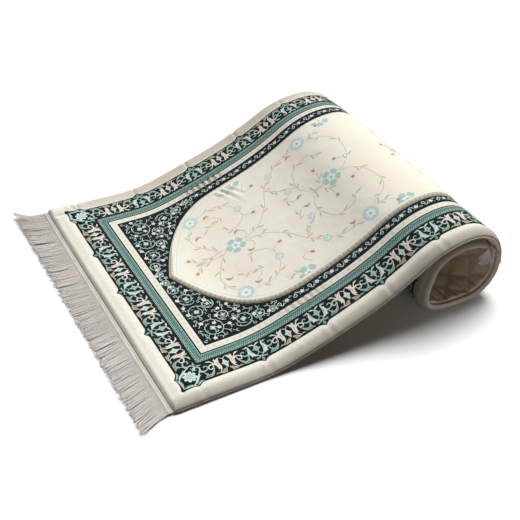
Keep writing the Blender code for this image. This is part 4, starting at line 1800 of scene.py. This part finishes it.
# %% [markdown]
# ### The vines and flowers of the niche
# The pale field carries slender vines that start from large flowers on the middle line and curl to
# both sides, the two halves mirrored. The group repeats along the rug. Vines are long thin strokes
# through a few stops, with small leaves set along them.

# %% Vines
vine_line = Ornament("vine_line", (208, 198, 180), (192, 182, 164), 0.00012)
vine_leaf = Ornament("vine_leaf", (206, 199, 179), (190, 182, 161), 0.00016)
vine_mauve = Ornament("vine_mauve", (192, 156, 152), (174, 138, 134), 0.00020)
teal_bloom = Ornament("teal_bloom", (180, 213, 205), (162, 201, 193), 0.00020)
sky_bloom = Ornament("sky_bloom", (202, 227, 222), (186, 217, 212), 0.00018)
white_bloom = Ornament("white_bloom", (250, 249, 244), (240, 238, 230), 0.00028)
bloom_heart = Ornament("bloom_heart", (150, 202, 200), (130, 186, 184), 0.00038)
GROUP_PITCH = 0.4533

# stops (along, across) in millimetres; a leaf is set at each of the given shares of the way
VINES = (
    (((253.3, 0), (236.7, 11.5), (221, 34), (210, 52), (208.3, 70), (213, 90), (227, 105)),
     (0.16, 0.42, 0.78)),
    (((293.3, 2), (326.7, 11), (346.7, 26.5), (366.7, 49.5), (380, 75), (396.7, 98.5), (412.3, 112.7)),
     (0.2, 0.5, 0.85)),
    (((293, 4), (303, 12), (302, 24), (291, 31)), ()),
    (((246.7, 120), (276.7, 123.3), (300, 116.7), (316.7, 96.7), (322, 83)), (0.3, 0.62)),
    (((321.7, 63), (313, 50), (293, 40), (277, 47)), (0.9,)),
    (((321.7, 82), (322, 63), (330, 55), (340, 52)), ()),
    (((261.7, 105), (272, 99), (280, 87), (267, 79), (247, 77)), (0.55, 0.95)),
    (((206.7, 1.7), (193, 7), (180, 18)), (0.5,)),
    (((363.3, 137), (353.3, 122), (360, 114), (373.3, 115)), ()),
    (((476.7, 0), (460, 3.3), (443.3, 20), (438, 40), (443.3, 60), (453.3, 80), (473.3, 88.3),
      (496.7, 86.7), (511.7, 70)), (0.12, 0.4, 0.7, 0.97)),
    (((440, 40), (430, 44), (420, 41.7)), ()),
    (((400, 36), (406, 24), (414, 15), (429, 13)), (0.3,)),
    (((520, 0), (540, 10), (556.7, 30), (565, 60), (563, 87), (546.7, 107), (516.7, 120)), (0.25, 0.6, 0.9)),
    (((474, 8), (482, 20), (484, 38)), (0.4,)),
    (((553.3, 30), (541, 28), (530.7, 33.5)), ()),
    (((412.3, 107.7), (420, 116), (430, 123), (456.7, 131.7), (485, 130)), (0.4, 0.8)),
    (((516.7, 123), (540, 130), (553, 140)), (0.5,)),
    (((232, 4), (214, 4), (196, 0)), (0.5,)),
    (((340, 145), (322, 140), (304, 136)), (0.5,)),
    (((384, 84), (400, 70), (412, 52)), (0.3, 0.8)),
)
MAUVE_LEAVES = (
    ((216, 62), (223, 69), (232, 66)),
    ((256, 104), (261.7, 111), (270, 108)),
    ((284, 26), (290, 32.5), (299, 32)),
    ((422, 12), (429, 17.5), (437, 14)),
    ((460, 118), (466.7, 123), (475, 120)),
)
# along, across, the way the bud points
BUDS = (
    (180, 19.5, 130), (340, 52, 0), (373.3, 118, 20), (484, 43.7, 90), (530.7, 33.5, 150),
    (555, 145, 60),
)
TEAL_BLOOMS = ((272.7, 0), (343, 156.5), (499.3, 0), (569.6, 156.5))
SKY_BLOOMS = ((230, 116.5), (500.7, 133.5))
SMALL_BLOOMS = ((322, 84), (412.3, 112.7), (420, 45))
print(len(VINES), "vines in a group")


# %% Flowers, buds and leaves of the field
CUT_INSIDE = 0.0135  # how far inside the niche's edge flowers and vines end
# each flower's layers from the outside in, as what Ornament.flower takes
TEAL_LAYERS = (
    (teal_bloom, 0.0212, 5, 0.42, 36),
    (white_bloom, 0.0104, 5, 0.40, 0),
    (bloom_heart, 0.0034, 5, 0.8, 0),
)
SKY_LAYERS = (
    (sky_bloom, 0.0166, 12, 0.86, 15, 5),
    (white_bloom, 0.0098, 6, 0.66, 0),
    (bloom_heart, 0.0030, 6, 0.8, 0),
)
SMALL_LAYERS = (
    (sky_bloom, 0.0094, 6, 0.52, 0),
    (white_bloom, 0.0042, 6, 0.7, 30),
    (bloom_heart, 0.0014, 6, 0.9, 0),
)
# length, width, how far back on the vine it starts
LEAF_PAIR = ((0.0165, 0.0034, 0.0), (0.0140, 0.0030, 0.0100))


def kept_inside(spots):
    """Spots drawn in to the niche's edge, where a flower is cut by it."""
    limit = np.maximum(niche_half_width(spots.real) - CUT_INSIDE, 0.001)
    return spots.real + 1j * np.clip(spots.imag, -limit, limit)


def draw_bud(at, angle, place):
    path = at + turned_by(angle) * np.linspace(-0.0030, 0.0055, 7)
    vine_mauve.stroke(place(path), (0.001, 0.0066, 0.0060, 0.0006))
    for side in (-38, 38):
        ray = turned_by(angle + side) * np.linspace(0.0010, 0.0066, 5)
        vine_mauve.stroke(place(at + ray), (0.0022, 0.0020, 0))


def draw_teal(middle):
    """A large flower with notched petals, cut by the niche's edge where it crosses it."""
    for ornament, radius, petals, waist, turn in TEAL_LAYERS:
        angle = np.linspace(0, 2 * np.pi, petals * 8, endpoint=False)
        petal = np.abs(np.cos(petals * (angle - math.radians(turn)) / 2))
        notch = 0.10 * np.exp(-((petal**2 - 1) ** 2) * 60)
        outline = middle + radius * (waist + (1 - waist) * petal**0.5 - notch) * np.exp(1j * angle)
        ornament.disc(kept_inside(middle), kept_inside(outline))


def draw_layers(layers):
    """A function that draws these layers of a flower round a spot."""
    def draw(middle):
        for ornament, *shape in layers:
            ornament.flower(middle, *shape)

    return draw


def vine_leaves(at, heading, way, place):
    """A pair of slender leaves that bend away from the vine, one longer than the other."""
    for side, (length, width, back) in zip((way, -way), LEAF_PAIR):
        start = at - turned_by(heading) * back
        tip = start + length * turned_by(heading + 34 * side)
        vine_leaf.stroke(place(arc_path(start, tip, -26 * side)), (0.0004, width * 0.8, width, 0))


BLOOMS = (
    (TEAL_BLOOMS, draw_teal),
    (SKY_BLOOMS, draw_layers(SKY_LAYERS)),
    (SMALL_BLOOMS, draw_layers(SMALL_LAYERS)),
)
print(sum(len(places) for places, _ in BLOOMS), "flowers in a group")

# %% Draw the field
FIELD_END = NICHE_END - 0.016
GROUP_COUNT = 2


def inside(path):
    """True where the field's vines may be."""
    reach = np.abs(path.imag) < niche_half_width(path.real) - CUT_INSIDE
    return reach & (path.real < FIELD_END) & (path.real > NICHE_INSET + 0.02)


def draw_vine(stops, leaves, shift, place):
    path = smooth_path([spot(stop) for stop in stops], 0.0022) + shift
    path = path[inside(path)]
    if len(path) < 6:
        return
    vine_line.stroke(place(path), (0.0010, 0.0013, 0.0009))
    heading = np.degrees(np.angle(np.gradient(path)))
    for number, share in enumerate(leaves):
        at = min(int(share * len(path)), len(path) - 1)
        vine_leaves(path[at], heading[at], 1 if number % 2 else -1, place)


def draw_group(shift, place):
    for stops, leaves in VINES:
        draw_vine(stops, leaves, shift, place)
    for stops in MAUVE_LEAVES:
        path = smooth_path([spot(stop) for stop in stops]) + shift
        if inside(path).all():
            vine_mauve.stroke(place(path), (0.0010, 0.0052, 0.0030, 0.0004))
    for *pair, angle in BUDS:
        at = spot(pair) + shift
        if inside(at):
            draw_bud(at, angle, place)
    for pairs, draw in BLOOMS:
        for pair in pairs:
            at = spot(pair) + shift
            once = pair[1] == 0 and place is np.conj
            if at.real <= FIELD_END - 0.016 and not once:
                draw(place(at))


for repeat in range(GROUP_COUNT):
    for place in BOTH_HALVES:
        draw_group(repeat * GROUP_PITCH, place)
print("field done:", len(vine_line.faces), "faces of vine")

# %% Lay every colour on the cloth
for ornament in (
    border_mint, border_pale, border_ivory, border_moss, border_beige, border_vein, border_blush,
    rosette_cyan, rosette_white, tip_crease_shade, scroll_line, scroll_leaf, scroll_bloom,
    bloom_eye, vine_line, vine_leaf, vine_mauve, teal_bloom, sky_bloom, white_bloom, bloom_heart,
):
    ornament.lay()

# %% [markdown]
# ## Camera, floor and light
# The camera stands where the photograph was taken from, and the floor is plain. Three distant lights
# do most of the work: a broad one from overhead that leaves the floor under the ramp dark, a weaker
# one from the right that brightens the crest, and a weak level one for the near side. They leave the
# hollow of the roll too dark, so a small lamp stands before it. The white floor would light the rug's
# sides from below as strongly as a lamp, so it isn't seen by scattered light, and the lower half of
# the sky stands in for what it sends back.

# %% Camera
CAMERA_AT = (-0.6985, -1.1753, 1.0835)
CAMERA_HEADING = math.radians(58.536)  # from +X towards +Y
CAMERA_DIP = math.radians(38.585)
CAMERA_LEAN = math.radians(3.163)
CAMERA_LENS = 61.856  # mm, on a 36 mm wide sensor


def camera_matrix():
    flat = Vector((math.cos(CAMERA_HEADING), math.sin(CAMERA_HEADING), 0.0))
    forward = flat * math.cos(CAMERA_DIP) - Vector((0, 0, math.sin(CAMERA_DIP)))
    level = Vector((math.sin(CAMERA_HEADING), -math.cos(CAMERA_HEADING), 0.0))
    upright = level.cross(forward)
    right = level * math.cos(CAMERA_LEAN) + upright * math.sin(CAMERA_LEAN)
    up = upright * math.cos(CAMERA_LEAN) - level * math.sin(CAMERA_LEAN)
    turned = Matrix((right, up, -forward)).transposed().to_4x4()
    return Matrix.Translation(CAMERA_AT) @ turned


camera_data = bpy.data.cameras.new("camera")
camera_data.lens = CAMERA_LENS
camera_data.sensor_width = 36.0
camera_data.sensor_fit = "HORIZONTAL"
camera_data.clip_start = 0.01
camera = bpy.data.objects.new("camera", camera_data)
camera.matrix_world = camera_matrix()
bpy.context.scene.collection.objects.link(camera)
bpy.context.scene.camera = camera
bpy.context.scene.view_settings.view_transform = "Standard"

# %% Floor and light
FLOOR_SIZE = 14.0
FLOOR_UNDER = 0.0002  # below the rug, so that no two surfaces lie in one plane
HORIZON = 0.12  # the height over which the sky's lower half goes over into its upper one
SKY_COLOUR = (1.0, 0.88, 0.79, 1.0)
# name, direction towards it, width in degrees, brightness
SUNS = (
    ("overhead", (0.36, 0.34, 1.0), 34, 1.15),
    ("from_the_right", (1.0, 0.30, 0.62), 40, 0.15),
    ("from_the_front", (-0.25, -1.0, 0.0), 16, 0.145),
)


def lamp(name, data, towards_it, place=(0.0, 0.0, 0.0)):
    thing = bpy.data.objects.new(name, data)
    thing.location = place
    thing.rotation_euler = Vector(towards_it).to_track_quat("Z", "Y").to_euler()
    bpy.context.scene.collection.objects.link(thing)
    return thing


def sun(name, towards_it, wide, brightness):
    """A broad distant light; brightness 1 shows a white surface that faces it as white."""
    data = bpy.data.lights.new(name, "SUN")
    data.angle = math.radians(wide)
    data.energy = math.pi * brightness
    lamp(name, data, towards_it)


def low_lamp(name, place, target, size, brightness):
    """A soft square lamp near the surface; brightness is what a white surface at its target shows."""
    data = bpy.data.lights.new(name, "AREA")
    data.size = size
    way = Vector(place) - Vector(target)
    data.energy = math.pi**2 * brightness * way.length_squared
    data.color = (1.0, 0.93, 0.86)
    lamp(name, data, way, place).visible_camera = False


def plain_floor():
    half = FLOOR_SIZE / 2
    corners = ((-half, -half), (half, -half), (half, half), (-half, half))
    floor = new_mesh("floor", [(*corner, -FLOOR_UNDER) for corner in corners], [(0, 1, 2, 3)])
    look = Look("floor_paint", 0.95, 0.0)
    look.colour(look.mix(look.noise(1.5), (0.95, 0.95, 0.95, 1), (0.97, 0.97, 0.97, 1)))
    look.onto(floor)
    floor.visible_diffuse = False


def plain_sky(above, below):
    """Even light from above, and what the floor would send back from below."""
    world = bpy.data.worlds.new("studio")
    world.use_nodes = True
    tree = world.node_tree
    height = tree.nodes.new("ShaderNodeSeparateXYZ")
    tree.links.new(tree.nodes.new("ShaderNodeTexCoord").outputs["Generated"], height.inputs[0])
    strength = tree.nodes.new("ShaderNodeMapRange")
    tree.links.new(height.outputs["Z"], strength.inputs["Value"])
    limits = {"From Min": -HORIZON, "From Max": HORIZON, "To Min": below, "To Max": above}
    for limit, value in limits.items():
        strength.inputs[limit].default_value = value
    tree.nodes["Background"].inputs["Color"].default_value = SKY_COLOUR
    tree.links.new(strength.outputs["Result"], tree.nodes["Background"].inputs["Strength"])
    bpy.context.scene.world = world


plain_floor()
plain_sky(0.014, 0.054)
for row in SUNS:
    sun(*row)
low_lamp("before_the_roll", (0.21, -0.54, 0.055), (0.29, -0.30, 0.06), 0.09, 0.20)
print("camera, floor and light set")
